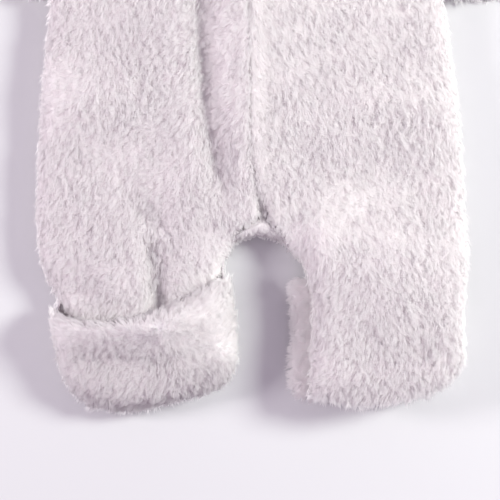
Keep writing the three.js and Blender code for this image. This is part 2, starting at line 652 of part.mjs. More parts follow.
/** A side view, given as [y, z] points, made `width` thick about x = 0. */
function sideExtrusion(points, width) {
  const geometry = new THREE.ExtrudeGeometry(shapeOf(points), { depth: width, bevelEnabled: false });
  geometry.translate(0, 0, -width / 2);
  // the shape's x and y become y and z, and its depth becomes x
  geometry.applyMatrix4(new THREE.Matrix4().set(0, 0, 1, 0, 1, 0, 0, 0, 0, 1, 0, 0, 0, 0, 0, 1));
  return geometry;
}

const wasm = await Module();
wasm.setup();

function solidOf(geometry) {
  const bare = geometry.clone();
  bare.deleteAttribute('normal');
  bare.deleteAttribute('uv');
  const merged = mergeVertices(bare, 1e-4);
  const mesh = new wasm.Mesh({
    numProp: 3,
    vertProperties: new Float32Array(merged.attributes.position.array),
    triVerts: new Uint32Array(merged.index.array),
  });
  return new wasm.Manifold(mesh);
}

function joined(first, second) {
  const mesh = solidOf(first).add(solidOf(second)).getMesh();
  const geometry = new THREE.BufferGeometry();
  geometry.setAttribute('position', new THREE.BufferAttribute(mesh.vertProperties, 3));
  geometry.setIndex(new THREE.BufferAttribute(mesh.triVerts, 1));
  return geometry;
}

const SLIDER_TOP = ZIP_Z + TAPE_THICK + CHAIN_RISE + GAP + SLIDER.height;

/** Slider body with the bridge that holds the pull. */
function makeSlider() {
  const low = SLIDER_TOP - SLIDER.height;
  const half = SLIDER.length / 2;
  const cut = SLIDER.chamfer;
  const body = sideExtrusion([
    [-half, low], [half, low], [half, SLIDER_TOP - cut], [half - cut, SLIDER_TOP],
    [-half + cut, SLIDER_TOP], [-half, SLIDER_TOP - cut],
  ], SLIDER.width);
  const foot = SLIDER_TOP - cut / 2;
  const top = SLIDER_TOP + BRIDGE.height;
  const end = BRIDGE.length / 2;
  const bar = BRIDGE.bar;
  const bridge = sideExtrusion([
    [-end, foot], [-end, top - bar], [-end + bar, top], [end - bar, top], [end, top - bar], [end, foot],
    [end - bar, foot], [end - bar, top - bar], [-end + bar, top - bar], [-end + bar, foot],
  ], BRIDGE.width);
  const slider = joined(body, bridge);
  slider.translate(0, SLIDER.y, 0);
  add('zip_slider', slider, NICKEL);
}

/** The pull hangs on the bridge by an eye, and lies back over the closed zip. */
function makePull() {
  const bar = PULL.thick / 2;
  const half = PULL.width / 2;
  const corner = 1.6;
  const plate = shapeOf([
    [-half, -PULL.length + corner], [-half + corner, -PULL.length], [half - corner, -PULL.length],
    [half, -PULL.length + corner], [half, bar], [-half, bar],
  ]);
  const eye = PULL.eyeWidth / 2;
  plate.holes.push(shapeOf([[-eye, -PULL.eyeEnd], [-eye, -bar], [eye, -bar], [eye, -PULL.eyeEnd]]));
  const geometry = new THREE.ExtrudeGeometry(plate, { depth: PULL.thick, bevelEnabled: false });
  geometry.translate(0, 0, -bar);
  add('zip_pull', geometry, NICKEL);
  const pull = last(romper.children);
  pull.rotation.x = -PULL.rest;
  pull.position.set(0, SLIDER.y, SLIDER_TOP + bar + GAP);
}

// ---- assembly --------------------------------------------------------------------------------

makeFront('front_right', FRONT_RIGHT, COLUMNS_RIGHT, 0);
makeFront('front_left', FRONT_LEFT, COLUMNS_LEFT, HEM_LEFT_SAG);
makeBack('back_right', backRows(FRONT_RIGHT, BACK_LEG_RIGHT, BACK_INNER_RIGHT, -1), COLUMNS_BACK, 0);
makeBack('back_left', backRows(FRONT_LEFT, BACK_LEG_LEFT, BACK_INNER_LEFT, 1), COLUMNS_LEFT, HEM_LEFT_SAG);
makeCoverRight();
makeCoverLeft();
makeGusset();
makeSleeve('sleeve_right', FRONT_RIGHT, CUFF_RIGHT, -1);
makeSleeve('sleeve_left', FRONT_LEFT, CUFF_LEFT, 1);
makeHood('hood_right', -1);
makeHood('hood_left', 1);
makeTape();
makeSlider();
makePull();

romper.updateMatrixWorld(true);
const box = new THREE.Box3().setFromObject(romper);
const middle = box.getCenter(new THREE.Vector3());
romper.position.set(-middle.x, -middle.y, -box.min.z);

export default romper;
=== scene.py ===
"""A hooded plush romper that lies flat: its cloth, combed pile, zip, floor, light and camera.

Everything is in metres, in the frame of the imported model: x across the garment, y towards the hood,
z up from the surface that it lies on. Sizes given in millimetres are turned to metres with MM.
"""

import math
from typing import NamedTuple

import bmesh
import bpy
import numpy as np
from bpy.props import FloatProperty, FloatVectorProperty, IntProperty, PointerProperty
from mathutils import Euler, Matrix, Vector


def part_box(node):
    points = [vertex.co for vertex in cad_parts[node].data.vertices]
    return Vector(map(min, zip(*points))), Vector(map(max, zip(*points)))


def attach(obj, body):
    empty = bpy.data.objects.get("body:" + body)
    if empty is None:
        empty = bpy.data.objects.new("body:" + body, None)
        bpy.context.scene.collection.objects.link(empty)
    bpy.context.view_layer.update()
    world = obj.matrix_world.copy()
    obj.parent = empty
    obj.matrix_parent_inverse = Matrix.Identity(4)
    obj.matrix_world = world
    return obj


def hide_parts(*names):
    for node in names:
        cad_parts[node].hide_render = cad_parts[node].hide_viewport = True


bl_info = {
    "name": "Hooded Plush Romper",
    "version": (1, 0, 0),
    "blender": (4, 5, 0),
    "location": "3D View > Sidebar > Romper",
    "description": "Makes the cloth, pile and zip of a plush romper that lies flat",
    "category": "Object",
}

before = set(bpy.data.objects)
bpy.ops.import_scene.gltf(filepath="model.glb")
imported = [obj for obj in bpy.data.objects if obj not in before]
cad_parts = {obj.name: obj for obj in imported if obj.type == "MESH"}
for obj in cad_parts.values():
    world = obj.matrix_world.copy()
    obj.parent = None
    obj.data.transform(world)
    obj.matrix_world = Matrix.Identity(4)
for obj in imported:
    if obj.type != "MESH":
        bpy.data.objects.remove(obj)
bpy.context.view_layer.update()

MM = 0.001
GARMENT = "garment"
PULL = "pull"


# ---- sizes and colours ------------------------------------------------------------------------


class RomperPlush(bpy.types.PropertyGroup):
    """Sizes and colours of the plush."""

    strand_length: FloatProperty(
        name="Strand Length", description="Length of the longest pile", default=11 * MM, unit="LENGTH"
    )
    strand_width: FloatProperty(
        name="Strand Width", description="Width of one strand at its middle", default=0.75 * MM, unit="LENGTH"
    )
    lean: FloatProperty(
        name="Lean", description="How far the pile lies over from upright", default=math.radians(60),
        subtype="ANGLE",
    )
    lock_size: FloatProperty(
        name="Lock Size", description="Size of a lock at its root", default=3.6 * MM, unit="LENGTH"
    )
    lock_pull: FloatProperty(
        name="Lock Pull", description="How far the tips of a lock close up", default=0.3, min=0, max=1
    )
    lock_turn: FloatProperty(
        name="Lock Turn", description="How far neighbouring locks point apart", default=math.radians(40),
        subtype="ANGLE",
    )
    swirl: FloatProperty(
        name="Swirl", description="How far the lie of the pile wanders", default=math.radians(110),
        subtype="ANGLE",
    )
    swirl_size: FloatProperty(
        name="Swirl Size", description="Size of a patch that lies one way", default=38 * MM, unit="LENGTH"
    )
    density: FloatProperty(
        name="Density", description="Strands on a square metre of the fronts", default=1.36e6
    )
    seed: IntProperty(name="Seed", description="Which of the possible piles is grown", default=7)
    inset: FloatProperty(
        name="Inset", description="How far the cloth lies below the top of the pile", default=4.6 * MM,
        unit="LENGTH",
    )
    cloth: FloatProperty(
        name="Cloth", description="Thickness of the knit that carries the pile", default=0.9 * MM,
        unit="LENGTH",
    )
    # painted shade: the roots' colour is darker than the tips', for the shade deep in the pile
    root: FloatVectorProperty(
        name="Root", description="Colour deep in the pile", default=(0.96, 0.92, 0.93), subtype="COLOR"
    )
    # the tips blend between these two by each strand's random tone and its painted shade at the edge of its
    # lock
    shade: FloatVectorProperty(
        name="Shade", description="Colour of the duller tips", default=(0.975, 0.945, 0.953), subtype="COLOR"
    )
    tip: FloatVectorProperty(
        name="Tip", description="Colour of the brightest tips", default=(0.99, 0.985, 0.983), subtype="COLOR"
    )
    knit: FloatVectorProperty(
        name="Knit", description="Colour of the cloth's wrong side", default=(0.74, 0.68, 0.71),
        subtype="COLOR",
    )


class RomperZip(bpy.types.PropertyGroup):
    """Sizes and colours of the zip."""

    pitch: FloatProperty(name="Pitch", description="From tooth to tooth", default=1.5 * MM, unit="LENGTH")
    wire: FloatProperty(name="Wire", description="Thickness of the coil", default=0.6 * MM, unit="LENGTH")
    coil: FloatVectorProperty(
        name="Coil", description="Colour of the teeth", default=(0.72, 0.67, 0.70), subtype="COLOR"
    )
    tape: FloatVectorProperty(
        name="Tape", description="Colour of the woven tape", default=(0.68, 0.62, 0.655), subtype="COLOR"
    )
    metal: FloatVectorProperty(
        name="Metal", description="Colour of the slider and its pull", default=(0.62, 0.62, 0.64),
        subtype="COLOR",
    )


class RomperStage(bpy.types.PropertyGroup):
    """Floor, light and camera."""

    floor: FloatVectorProperty(
        name="Floor", description="Colour of the surface below", default=(0.65, 0.647, 0.66), subtype="COLOR"
    )
    key: FloatProperty(name="Key", description="Power of the main light", default=40, unit="POWER")
    side: FloatProperty(
        name="Side", description="Power of the light from the other side", default=22, unit="POWER"
    )
    fill: FloatProperty(name="Fill", description="Strength of the light from all round", default=0.53)
    view_width: FloatProperty(
        name="View Width", description="Width that the camera takes in", default=0.375, unit="LENGTH"
    )
    view_x: FloatProperty(
        name="View X", description="Middle of the view, across", default=-0.0005, unit="LENGTH"
    )
    view_y: FloatProperty(
        name="View Y", description="Middle of the view, along", default=-0.2427, unit="LENGTH"
    )
    lens: FloatProperty(name="Lens", description="Focal length in millimetres", default=100.0)


def add_object(name, data):
    """A new object in the scene."""
    made = bpy.data.objects.new(name, data)
    bpy.context.scene.collection.objects.link(made)
    return made


# ---- nodes ------------------------------------------------------------------------------------


class Wire:
    """A socket that takes Python's operators, each of which adds its Math or Vector Math node."""

    def __init__(self, bench, socket):
        self.bench = bench
        self.socket = socket
        self.vector = socket.type == "VECTOR"

    def _apply(self, operation, first, second):
        terms = (first, second)
        vectors = [isinstance(t, (tuple, Vector)) or getattr(t, "vector", False) for t in terms]
        if not any(vectors):
            return self.bench.math(operation, first, second)
        if operation == "MULTIPLY" and not all(vectors):
            arrow, number = terms if vectors[0] else terms[::-1]
            return self.bench.wire(
                "ShaderNodeVectorMath", {"operation": "SCALE"}, {0: arrow, "Scale": number}
            )
        return self.bench.wire("ShaderNodeVectorMath", {"operation": operation}, {0: first, 1: second})

    def __add__(self, other):
        return self._apply("ADD", self, other)

    def __radd__(self, other):
        return self._apply("ADD", other, self)

    def __sub__(self, other):
        return self._apply("SUBTRACT", self, other)

    def __rsub__(self, other):
        return self._apply("SUBTRACT", other, self)

    def __mul__(self, other):
        return self._apply("MULTIPLY", self, other)

    def __rmul__(self, other):
        return self._apply("MULTIPLY", other, self)

    def __truediv__(self, other):
        return self._apply("DIVIDE", self, other)

    def __rtruediv__(self, other):
        return self._apply("DIVIDE", other, self)

    def dot(self, other):
        return self.bench.wire(
            "ShaderNodeVectorMath", {"operation": "DOT_PRODUCT"}, {0: self, 1: other}, "Value"
        )

    def unit(self):
        return self.bench.wire("ShaderNodeVectorMath", {"operation": "NORMALIZE"}, {0: self})

    def length(self):
        return self.bench.wire("ShaderNodeVectorMath", {"operation": "LENGTH"}, {0: self}, "Value")


class Bench:
    """Lays nodes in one tree and joins them."""

    def __init__(self, tree):
        self.tree = tree

    def feed(self, socket, value):
        if isinstance(value, Wire):
            value = value.socket
        if isinstance(value, bpy.types.NodeSocket):
            self.tree.links.new(value, socket)
        else:
            socket.default_value = value

    def node(self, kind, settings=(), sockets=()):
        made = self.tree.nodes.new(kind)
        for name, value in dict(settings).items():
            if name == "stops":
                self.set_stops(made.color_ramp, value)
            else:
                setattr(made, name, value)
        for key, value in dict(sockets).items():
            self.feed(made.inputs[key], value)
        return made

    def wire(self, kind, settings=(), sockets=(), output=0):
        return Wire(self, self.node(kind, settings, sockets).outputs[output])

    def set_stops(self, ramp, stops):
        while len(ramp.elements) < len(stops):
            ramp.elements.new(1)
        for element, (place, colour) in zip(ramp.elements, stops):
            element.position = place
            element.color = colour

    def math(self, operation, first, second=0.5):
        return self.wire("ShaderNodeMath", {"operation": operation}, {0: first, 1: second})

    def blend(self, share, first, second):
        """A colour between two colours."""
        return self.wire(
            "ShaderNodeMix",
            {"data_type": "RGBA"},
            {0: share, 6: solid(first), 7: solid(second)},
            2,
        )

    def between(self, value, low, high):
        """0 where value is at low, 1 where it is at high, with soft ends."""
        return self.wire(
            "ShaderNodeMapRange",
            {"interpolation_type": "SMOOTHSTEP"},
            {"Value": value, "From Min": low, "From Max": high},
        )


def solid(colour):
    """A colour with its alpha, or a wire as it is."""
    return colour if isinstance(colour, Wire) else (*colour[:3], 1)


def new_finish(name, **shader):
    """A material with one Principled shader and its constant values, with a bench to feed the rest."""
    finish = bpy.data.materials.new(name)
    finish.use_nodes = True
    bench = Bench(finish.node_tree)
    principled = finish.node_tree.nodes["Principled BSDF"]
    for socket, value in shader.items():
        principled.inputs[socket.replace("_", " ")].default_value = value
    return finish, bench, principled


def own_place(bench):
    """The place on a piece, in its own frame."""
    return bench.wire("ShaderNodeTexCoord", (), (), "Object")


def toned(colour, share):
    """A colour made darker, or lighter up to white."""
    return tuple(min(c * share, 1) for c in colour)


def noise_at(bench, place, size, detail=2.0, rough=0.5):
    """Noise from 0 to 1 with features of about the given size."""
    return bench.wire(
        "ShaderNodeTexNoise", (), {"Vector": place, "Scale": 1 / size, "Detail": detail, "Roughness": rough}
    )


def bump(bench, principled, height, rise):
    """Lets a height pattern feed the shader's normal."""
    bench.feed(
        principled.inputs["Normal"],
        bench.wire("ShaderNodeBump", (), {"Height": height, "Distance": rise, "Strength": 1.0}),
    )


# ---- finishes ---------------------------------------------------------------------------------

THROUGH_SHARE = 0.77       # share of the light that a strand passes on from behind
COVER_PAINTED_SHADE = 0.975          # painted shade: how much darker the foot covers' pile is made than the rest
WAVES = 3.2                # waves that a wave texture lays on one unit at scale 1, about


def pile_finish(name, plush, painted_dimming=1.0):
    """Plush strands: roots painted darker than the tips, as painted shade deep in the pile, and each strand
    with its own tone, painted darker towards the edge of its lock.
    """
    finish, bench, principled = new_finish(
        name, Roughness=0.85, Specular_IOR_Level=0.15, Sheen_Weight=0.25, Sheen_Roughness=0.6
    )
    map_place = bench.node("ShaderNodeUVMap", {"uv_map": "OFBake"})
    parts = bench.node("ShaderNodeSeparateXYZ", (), {0: map_place.outputs[0]})
    # the map's first axis carries each strand's random tone together with its painted shade at the lock's
    # edge
    tint = Wire(bench, parts.outputs["X"])
    along = Wire(bench, parts.outputs["Y"])
    shade = toned(plush.shade, painted_dimming)
    tip = toned(plush.tip, painted_dimming)
    lit = bench.blend(tint, shade, tip)
    # painted shade: each strand is darker towards its root, where the pile shades itself
    colour = bench.blend(bench.between(along, -0.15, 0.55), plush.root, lit)
    bench.feed(principled.inputs["Base Color"], colour)
    let_light_through(bench, principled, colour, THROUGH_SHARE)
    return finish


def let_light_through(bench, principled, colour, share):
    """Mixes in light from behind, as thin strands pass it on."""
    through = bench.node("ShaderNodeBsdfTranslucent", (), {"Color": colour})
    mixed = bench.node(
        "ShaderNodeMixShader", (), {0: share, 1: principled.outputs[0], 2: through.outputs[0]}
    )
    output = bench.tree.nodes["Material Output"]
    bench.feed(output.inputs["Surface"], mixed.outputs[0])


def backing_finish(plush):
    """The right side of the cloth, seen only between the locks."""
    finish, bench, principled = new_finish("plush backing", Roughness=1.0, Sheen_Weight=0.2)
    place = own_place(bench)
    fuzz = noise_at(bench, place, 1.2 * MM, 3.0, 0.7)
    # the backing takes the roots' colour, painted darker for the shade deep in the pile, with a random fuzz
    # over it
    dark = toned(plush.root, 0.9)
    bench.feed(principled.inputs["Base Color"], bench.blend(fuzz, dark, plush.root))
    bump(bench, principled, fuzz, 0.6 * MM)
    return finish


def knit_finish(plush):
    """The wrong side of the cloth: fine knit in rows of small loops."""
    finish, bench, principled = new_finish("plush wrong side", Roughness=0.9, Sheen_Weight=0.3)
    place = own_place(bench)
    ribs, rows = (
        bench.wire(
            "ShaderNodeTexWave",
            {"wave_type": "BANDS", "bands_direction": axis, "wave_profile": "SIN"},
            {"Vector": place, "Scale": 1 / size / WAVES, "Distortion": distortion, "Detail": 1.0},
            "Fac",
        )
        for axis, size, distortion in (("X", 1.4 * MM, 1.2), ("Y", 1.1 * MM, 0.8))
    )
    loops = ribs * 0.6 + rows * 0.4
    pilling = noise_at(bench, place, 9 * MM, 3.0, 0.6)
    light = toned(plush.knit, 1.12)
    dark = toned(plush.knit, 0.8)
    shade = bench.blend(loops * 0.55 + pilling * 0.45, dark, light)
    bench.feed(principled.inputs["Base Color"], shade)
    bump(bench, principled, loops, 0.35 * MM)
    return finish


def tape_finish(zip_sizes):
    """Woven tape: a small herringbone in one colour."""
    finish, bench, principled = new_finish("zip tape weave", Roughness=0.8, Sheen_Weight=0.15)
    place = own_place(bench)
    parts = bench.node("ShaderNodeSeparateXYZ", (), {0: place})
    column = bench.math("PINGPONG", Wire(bench, parts.outputs[0]), 1.6 * MM)
    slope = column + Wire(bench, parts.outputs[1])
    thread = bench.math("PINGPONG", slope, 0.28 * MM)
    ridge = thread * (1 / (0.28 * MM))
    soil = noise_at(bench, place, 14 * MM)
    dark = toned(zip_sizes.tape, 0.78)
    shade = bench.blend(ridge * 0.8 + soil * 0.2, dark, zip_sizes.tape)
    bench.feed(principled.inputs["Base Color"], shade)
    bump(bench, principled, ridge, 0.12 * MM)
    return finish


def coil_finish(zip_sizes):
    """Polyester coil with a dull gloss."""
    finish, bench, principled = new_finish("zip coil", Roughness=0.42, Specular_IOR_Level=0.45)
    place = own_place(bench)
    cloud = noise_at(bench, place, 4 * MM)
    dark = toned(zip_sizes.coil, 0.85)
    bench.feed(principled.inputs["Base Color"], bench.blend(cloud, dark, zip_sizes.coil))
    bump(bench, principled, noise_at(bench, place, 0.3 * MM), 0.02 * MM)
    return finish


def nickel_finish(zip_sizes):
    """Satin nickel with fine rubbing marks."""
    finish, bench, principled = new_finish("zip nickel", Metallic=1.0)
    place = own_place(bench)
    stretched = bench.wire(
        "ShaderNodeMapping", (), {"Vector": place, "Scale": (1.0, 0.12, 1.0)}
    )
    rub = noise_at(bench, stretched, 0.25 * MM, 3.0, 0.7)
    cloud = noise_at(bench, place, 3 * MM)
    dull = toned(zip_sizes.metal, 0.8)
    bench.feed(principled.inputs["Base Color"], bench.blend(cloud, dull, zip_sizes.metal))
    bench.feed(principled.inputs["Roughness"], rub * 0.22 + 0.24)
    bump(bench, principled, rub, 0.01 * MM)
    return finish


def floor_finish(stage):
    """Smooth pale board."""
    finish, bench, principled = new_finish("floor", Roughness=0.7, Specular_IOR_Level=0.2)
    place = own_place(bench)
    cloud = noise_at(bench, place, 0.5)
    light = toned(stage.floor, 1.01)
    dark = toned(stage.floor, 0.99)
    bench.feed(principled.inputs["Base Color"], bench.blend(cloud, dark, light))
    return finish


def the_finish(name, maker, *sizes):
    """One finish by name, made the first time that it is asked for."""
    found = bpy.data.materials.get(name)
    return found or maker(*sizes)


# ---- pile growth ------------------------------------------------------------------------------

PILE_INPUTS = (
    ("Strand", "NodeSocketObject"),
    ("Density", "NodeSocketFloat"),
    ("Seed", "NodeSocketInt"),
    ("Length", "NodeSocketFloat"),
    ("Width", "NodeSocketFloat"),
    ("Lean", "NodeSocketFloat"),
    ("Lock Size", "NodeSocketFloat"),
    ("Lock Pull", "NodeSocketFloat"),
    ("Lock Turn", "NodeSocketFloat"),
    ("Swirl", "NodeSocketFloat"),
    ("Swirl Size", "NodeSocketFloat"),
    ("Finish", "NodeSocketMaterial"),
)
TINT_SHARE = 0.97          # the rest of the map's width is the strand's own width
MEAN_TINT = 0.66           # from 0, the duller tips, to 1, the brightest
STRAY = 0.3                # how far one strand turns or rolls from its lock's way, in radians
LEAN_SPREAD = 0.3          # how much the lean differs from lock to lock, as a share of it
PATCH_SIZE = 15 * MM       # size of a patch of longer or shorter pile


def attribute(bench, name, kind):
    return bench.wire("GeometryNodeInputNamedAttribute", {"data_type": kind}, {"Name": name})


def store(bench, geometry, name, kind, domain, value):
    return bench.wire(
        "GeometryNodeStoreNamedAttribute",
        {"data_type": kind, "domain": domain},
        {"Geometry": geometry, "Name": name, "Value": value},
    )


def random_between(bench, low, high, seed):
    return bench.wire(
        "FunctionNodeRandomValue", {"data_type": "FLOAT"}, {2: low, 3: high, "Seed": seed}, 1
    )


def pile_growth():
    """The tree that grows locks of leaning strands on a backing.

    The backing carries three attributes at its points: comb, the way that the pile lies, outward, its
    normal, and nap, the share of the full length."""
    found = bpy.data.node_groups.get("pile growth")
    if found:
        return found
    tree = bpy.data.node_groups.new("pile growth", "GeometryNodeTree")
    tree.interface.new_socket("Backing", in_out="INPUT", socket_type="NodeSocketGeometry")
    for name, kind in PILE_INPUTS:
        tree.interface.new_socket(name, in_out="INPUT", socket_type=kind)
    tree.interface.new_socket("Pile", in_out="OUTPUT", socket_type="NodeSocketGeometry")
    bench = Bench(tree)
    entry = bench.node("NodeGroupInput")
    given = {socket.name: Wire(bench, socket) for socket in entry.outputs if socket.name}

    points = bench.wire(
        "GeometryNodeDistributePointsOnFaces",
        (),
        {"Mesh": given["Backing"], "Density": given["Density"], "Seed": given["Seed"]},
    )
    place = bench.wire("GeometryNodeInputPosition")
    outward = attribute(bench, "outward", "FLOAT_VECTOR").unit()
    comb = attribute(bench, "comb", "FLOAT_VECTOR")
    nap = attribute(bench, "nap", "FLOAT")

    wander = bench.wire("ShaderNodeTexNoise", (), {"Vector": place, "Scale": 260.0, "Detail": 1.0}, "Color")
    wandered = place + bench.wire(
        "ShaderNodeVectorMath", {"operation": "SUBTRACT"}, {0: wander, 1: (0.5, 0.5, 0.5)}
    ) * (4 * MM)
    locks = bench.node(
        "ShaderNodeTexVoronoi",
        {"voronoi_dimensions": "3D", "feature": "F1"},
        {"Vector": wandered * (1 / given_length(given, "Lock Size")), "Scale": 1.0},
    )
    heart = Wire(bench, locks.outputs["Position"]) * given["Lock Size"]
    from_heart = Wire(bench, locks.outputs["Distance"])
    lock_colour = bench.node("ShaderNodeSeparateXYZ", (), {0: Wire(bench, locks.outputs["Color"])})
    lock_turn, lock_lean, lock_length = (Wire(bench, lock_colour.outputs[i]) for i in range(3))

    flow = noise_at(bench, heart * (1 / given_length(given, "Swirl Size")), 1.0, 1.5)
    patch = noise_at(bench, heart, PATCH_SIZE)
    stray = random_between(bench, -STRAY, STRAY, 11)
    turn = (flow - 0.5) * given["Swirl"] + (lock_turn - 0.5) * given["Lock Turn"] + stray
    combed = bench.wire(
        "ShaderNodeVectorRotate",
        {"rotation_type": "AXIS_ANGLE"},
        {"Vector": comb, "Axis": outward, "Angle": turn},
    )
    combed = combed - outward * combed.dot(outward)

    lean = given["Lean"] * (lock_lean * LEAN_SPREAD + (1 - LEAN_SPREAD / 2))
    lean = lean + random_between(bench, -0.1, 0.1, 12)
    rise = bench.math("COSINE", lean)
    run = bench.math("SINE", lean)
    heading = outward * rise + combed * run
    length = (
        given["Length"]
        * nap
        * (lock_length * 0.25 + 0.7)
        * (patch * 0.3 + 0.9)
        * random_between(bench, 0.82, 1.12, 13)
        * (1.08 - from_heart * 0.35)
    )
    inwards = heart - place
    inwards = inwards - outward * inwards.dot(outward)
    reach = heading * length + inwards * given["Lock Pull"]

    upright = bench.wire("FunctionNodeAlignRotationToVector", {"axis": "Z"}, {"Vector": reach})
    facing = bench.wire(
        "FunctionNodeAlignRotationToVector",
        {"axis": "X", "pivot_axis": "Z"},
        {"Rotation": upright, "Vector": outward},
    )
    roll = bench.wire("ShaderNodeCombineXYZ", (), {"Z": random_between(bench, -STRAY, STRAY, 14)})
    rolled = bench.wire(
        "FunctionNodeRotateRotation",
        {"rotation_space": "LOCAL"},
        {"Rotation": facing, "Rotate By": roll},
    )
    width = given["Width"] * random_between(bench, 0.75, 1.25, 15)
    scale = bench.wire(
        "ShaderNodeCombineXYZ", (), {"X": reach.length(), "Y": width, "Z": reach.length()}
    )
    # random tone from strand to strand and from lock to lock, plus painted shade: strands are darker towards
    # the edge of their lock
    tint = (
        MEAN_TINT
        + random_between(bench, -0.1, 0.1, 16)
        + (lock_length - 0.5) * 0.25
        # painted shade: darker the further a strand grows from its lock's heart
        + (0.45 - from_heart) * 0.4
    )
    tint = bench.wire("ShaderNodeClamp", (), {"Value": tint, "Min": 0.0, "Max": 1.0})
    points = store(bench, points, "tint", "FLOAT", "POINT", tint)
    strand = bench.wire("GeometryNodeObjectInfo", (), {"Object": given["Strand"]}, "Geometry")
    strands = bench.wire(
        "GeometryNodeInstanceOnPoints",
        (),
        {"Points": points, "Instance": strand, "Rotation": rolled, "Scale": scale},
    )
    pile = bench.wire("GeometryNodeRealizeInstances", (), {"Geometry": strands})
    across = attribute(bench, "across", "FLOAT") * (1 - TINT_SHARE)
    bake_map = bench.wire(
        "ShaderNodeCombineXYZ",
        (),
        {
            "X": attribute(bench, "tint", "FLOAT") * TINT_SHARE + across,
            "Y": attribute(bench, "along", "FLOAT"),
        },
    )
    pile = store(bench, pile, "OFBake", "FLOAT2", "CORNER", bake_map)
    pile = bench.wire("GeometryNodeSetMaterial", (), {"Geometry": pile, "Material": given["Finish"]})
    bench.node("NodeGroupOutput", (), {"Pile": pile})
    return tree


def given_length(given, name):
    """One of the tree's length inputs, kept off zero."""
    return given[name].bench.math("MAXIMUM", given[name], 0.1 * MM)


# ---- cloth pieces -----------------------------------------------------------------------------


class Crease(NamedTuple):
    """A soft trough in the cloth, or a ridge if its depth is negative. It fades out towards its ends,
    and all of it is in millimetres."""

    depth: float
    half_width: float
    points: tuple


class Stroke(NamedTuple):
    """One stroke of the comb: where it is made, in millimetres, the way that it pulls the pile, and
    the share of its length that the pile has there."""

    x: float
    y: float
    way: tuple
    nap: float = 1.0


class Panel(NamedTuple):
    """How one plush solid becomes cloth and pile."""

    side: str                 # which faces of the solid carry pile: up, down or round
    lie: str                  # which way its pile is combed
    flat: tuple               # the size that it is cut to, in metres
    area: float               # the cut's own area, in square metres
    pile: float = 1.0         # share of the fronts' density
    nap: float = 1.0          # share of the full strand length
    inset: float = 1.0        # share of the full inset
    hold: float = 1.0         # how firmly the cloth is held up beside a seam
    slot: str = "plush"
    creases: tuple = ()
    strokes: tuple = ()       # if there are any, they say how the pile is combed


UP, DOWN, ROUND = "up", "down", "round"
SEAM_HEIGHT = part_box("back_right")[1].z    # the plane where fronts and backs meet
SPLAY = 0.55               # how far the pile turns out towards the sides of a panel
SEAM_REACH = 9 * MM        # how far from a butted seam the cloth is held up
HOOD_MIDDLE = Vector((-0.0005, 0.232, 0))
NECK_HALF = 51 * MM        # from the middle to where the hood's seam meets the shoulder
SHOULDER_HIGH = 152 * MM
SHOULDER_LOW = 130 * MM
SHOULDER_SLOPE = 0.22
CROTCH = Vector((0.008, -0.240))
SEAM_HOLD = 0.8            # how much of the inset and of the cloth's tilt a butted seam takes away
SEAM_NAP_LOSS = 0.15       # how much shorter the pile is at a butted seam
NECK_SEAM_NAP = 0.15       # the pile's length at the seam that joins the hood to the back of the neck
CLEARANCE = 0.4 * MM       # room kept above the surface that the romper lies on
SOFTNESS = 0.95            # how far a strand is shaded like the cloth that it grows on
SLIDER_LOW, SLIDER_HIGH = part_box("zip_slider")
SLIDER_MIDDLE = (SLIDER_LOW + SLIDER_HIGH) / 2
# in millimetres, from the underarm up, and from one front corner of the neck round to the other
ARMHOLES = (
    ((-147, 28), (-143, 50), (-137, 70), (-131, 88), (-126, 108), (-121, 124), (-118, 137)),
    ((141, 28), (138, 50), (134, 70), (129, 88), (125, 108), (120, 124), (117, 137)),
)
NECKLINE = ((-9, 118), (-28, 128), (-50, 152), (-0.4, 144), (49, 152), (27, 128), (8, 118))

FRONT_RIGHT_STROKES = (
    Stroke(-141, -78, (-0.45, -1.0)),
    Stroke(-143, -104, (-1.0, -0.55)),
    Stroke(-143, -168, (-0.6, -1.0)),
    Stroke(-147, -228, (-0.5, -1.0)),
    Stroke(-105, -85, (0.25, -1.0)),
    Stroke(-98, -130, (0.15, -1.0)),
    Stroke(-83, -160, (-0.75, -0.7)),
    Stroke(-120, -190, (-0.5, -1.0)),
    Stroke(-60, -100, (-0.35, -1.0)),
    Stroke(-45, -145, (-0.25, -1.0)),
    Stroke(-34, -78, (-0.8, -0.8)),
    Stroke(-23, -100, (-1.0, -0.25)),
    Stroke(-24, -140, (-1.0, -0.5)),
    Stroke(-10, -100, (-0.15, -1.0)),
    Stroke(-12, -160, (-0.1, -1.0)),
    Stroke(-75, -213, (-0.55, -1.0)),
    Stroke(-38, -205, (-0.2, -1.0)),
    Stroke(-90, -243, (-0.55, -0.9)),
    Stroke(-120, -273, (-0.5, -1.0)),
    Stroke(-79, -273, (-0.1, -1.0)),
    Stroke(-53, -265, (0.45, -1.0)),
    Stroke(-32, -248, (-0.1, -1.0), 0.8),
    Stroke(-20, -244, (0.9, -0.4), 0.6),
    Stroke(-25, -258, (0.95, -0.3), 0.6),
    Stroke(-15, -233, (0.4, -0.9), 0.5),
    Stroke(-22, -215, (0.0, -1.0)),
    Stroke(-2, -212, (0.35, -0.9), 0.8),
)
GUSSET_STROKES = (
    Stroke(1, -220, (0.1, -1.0), 1.0),
    Stroke(-9, -234, (-0.3, -0.9), 0.9),
    Stroke(8, -231, (0.3, -0.95), 0.8),
    Stroke(24, -236, (0.8, -0.6), 0.9),
)
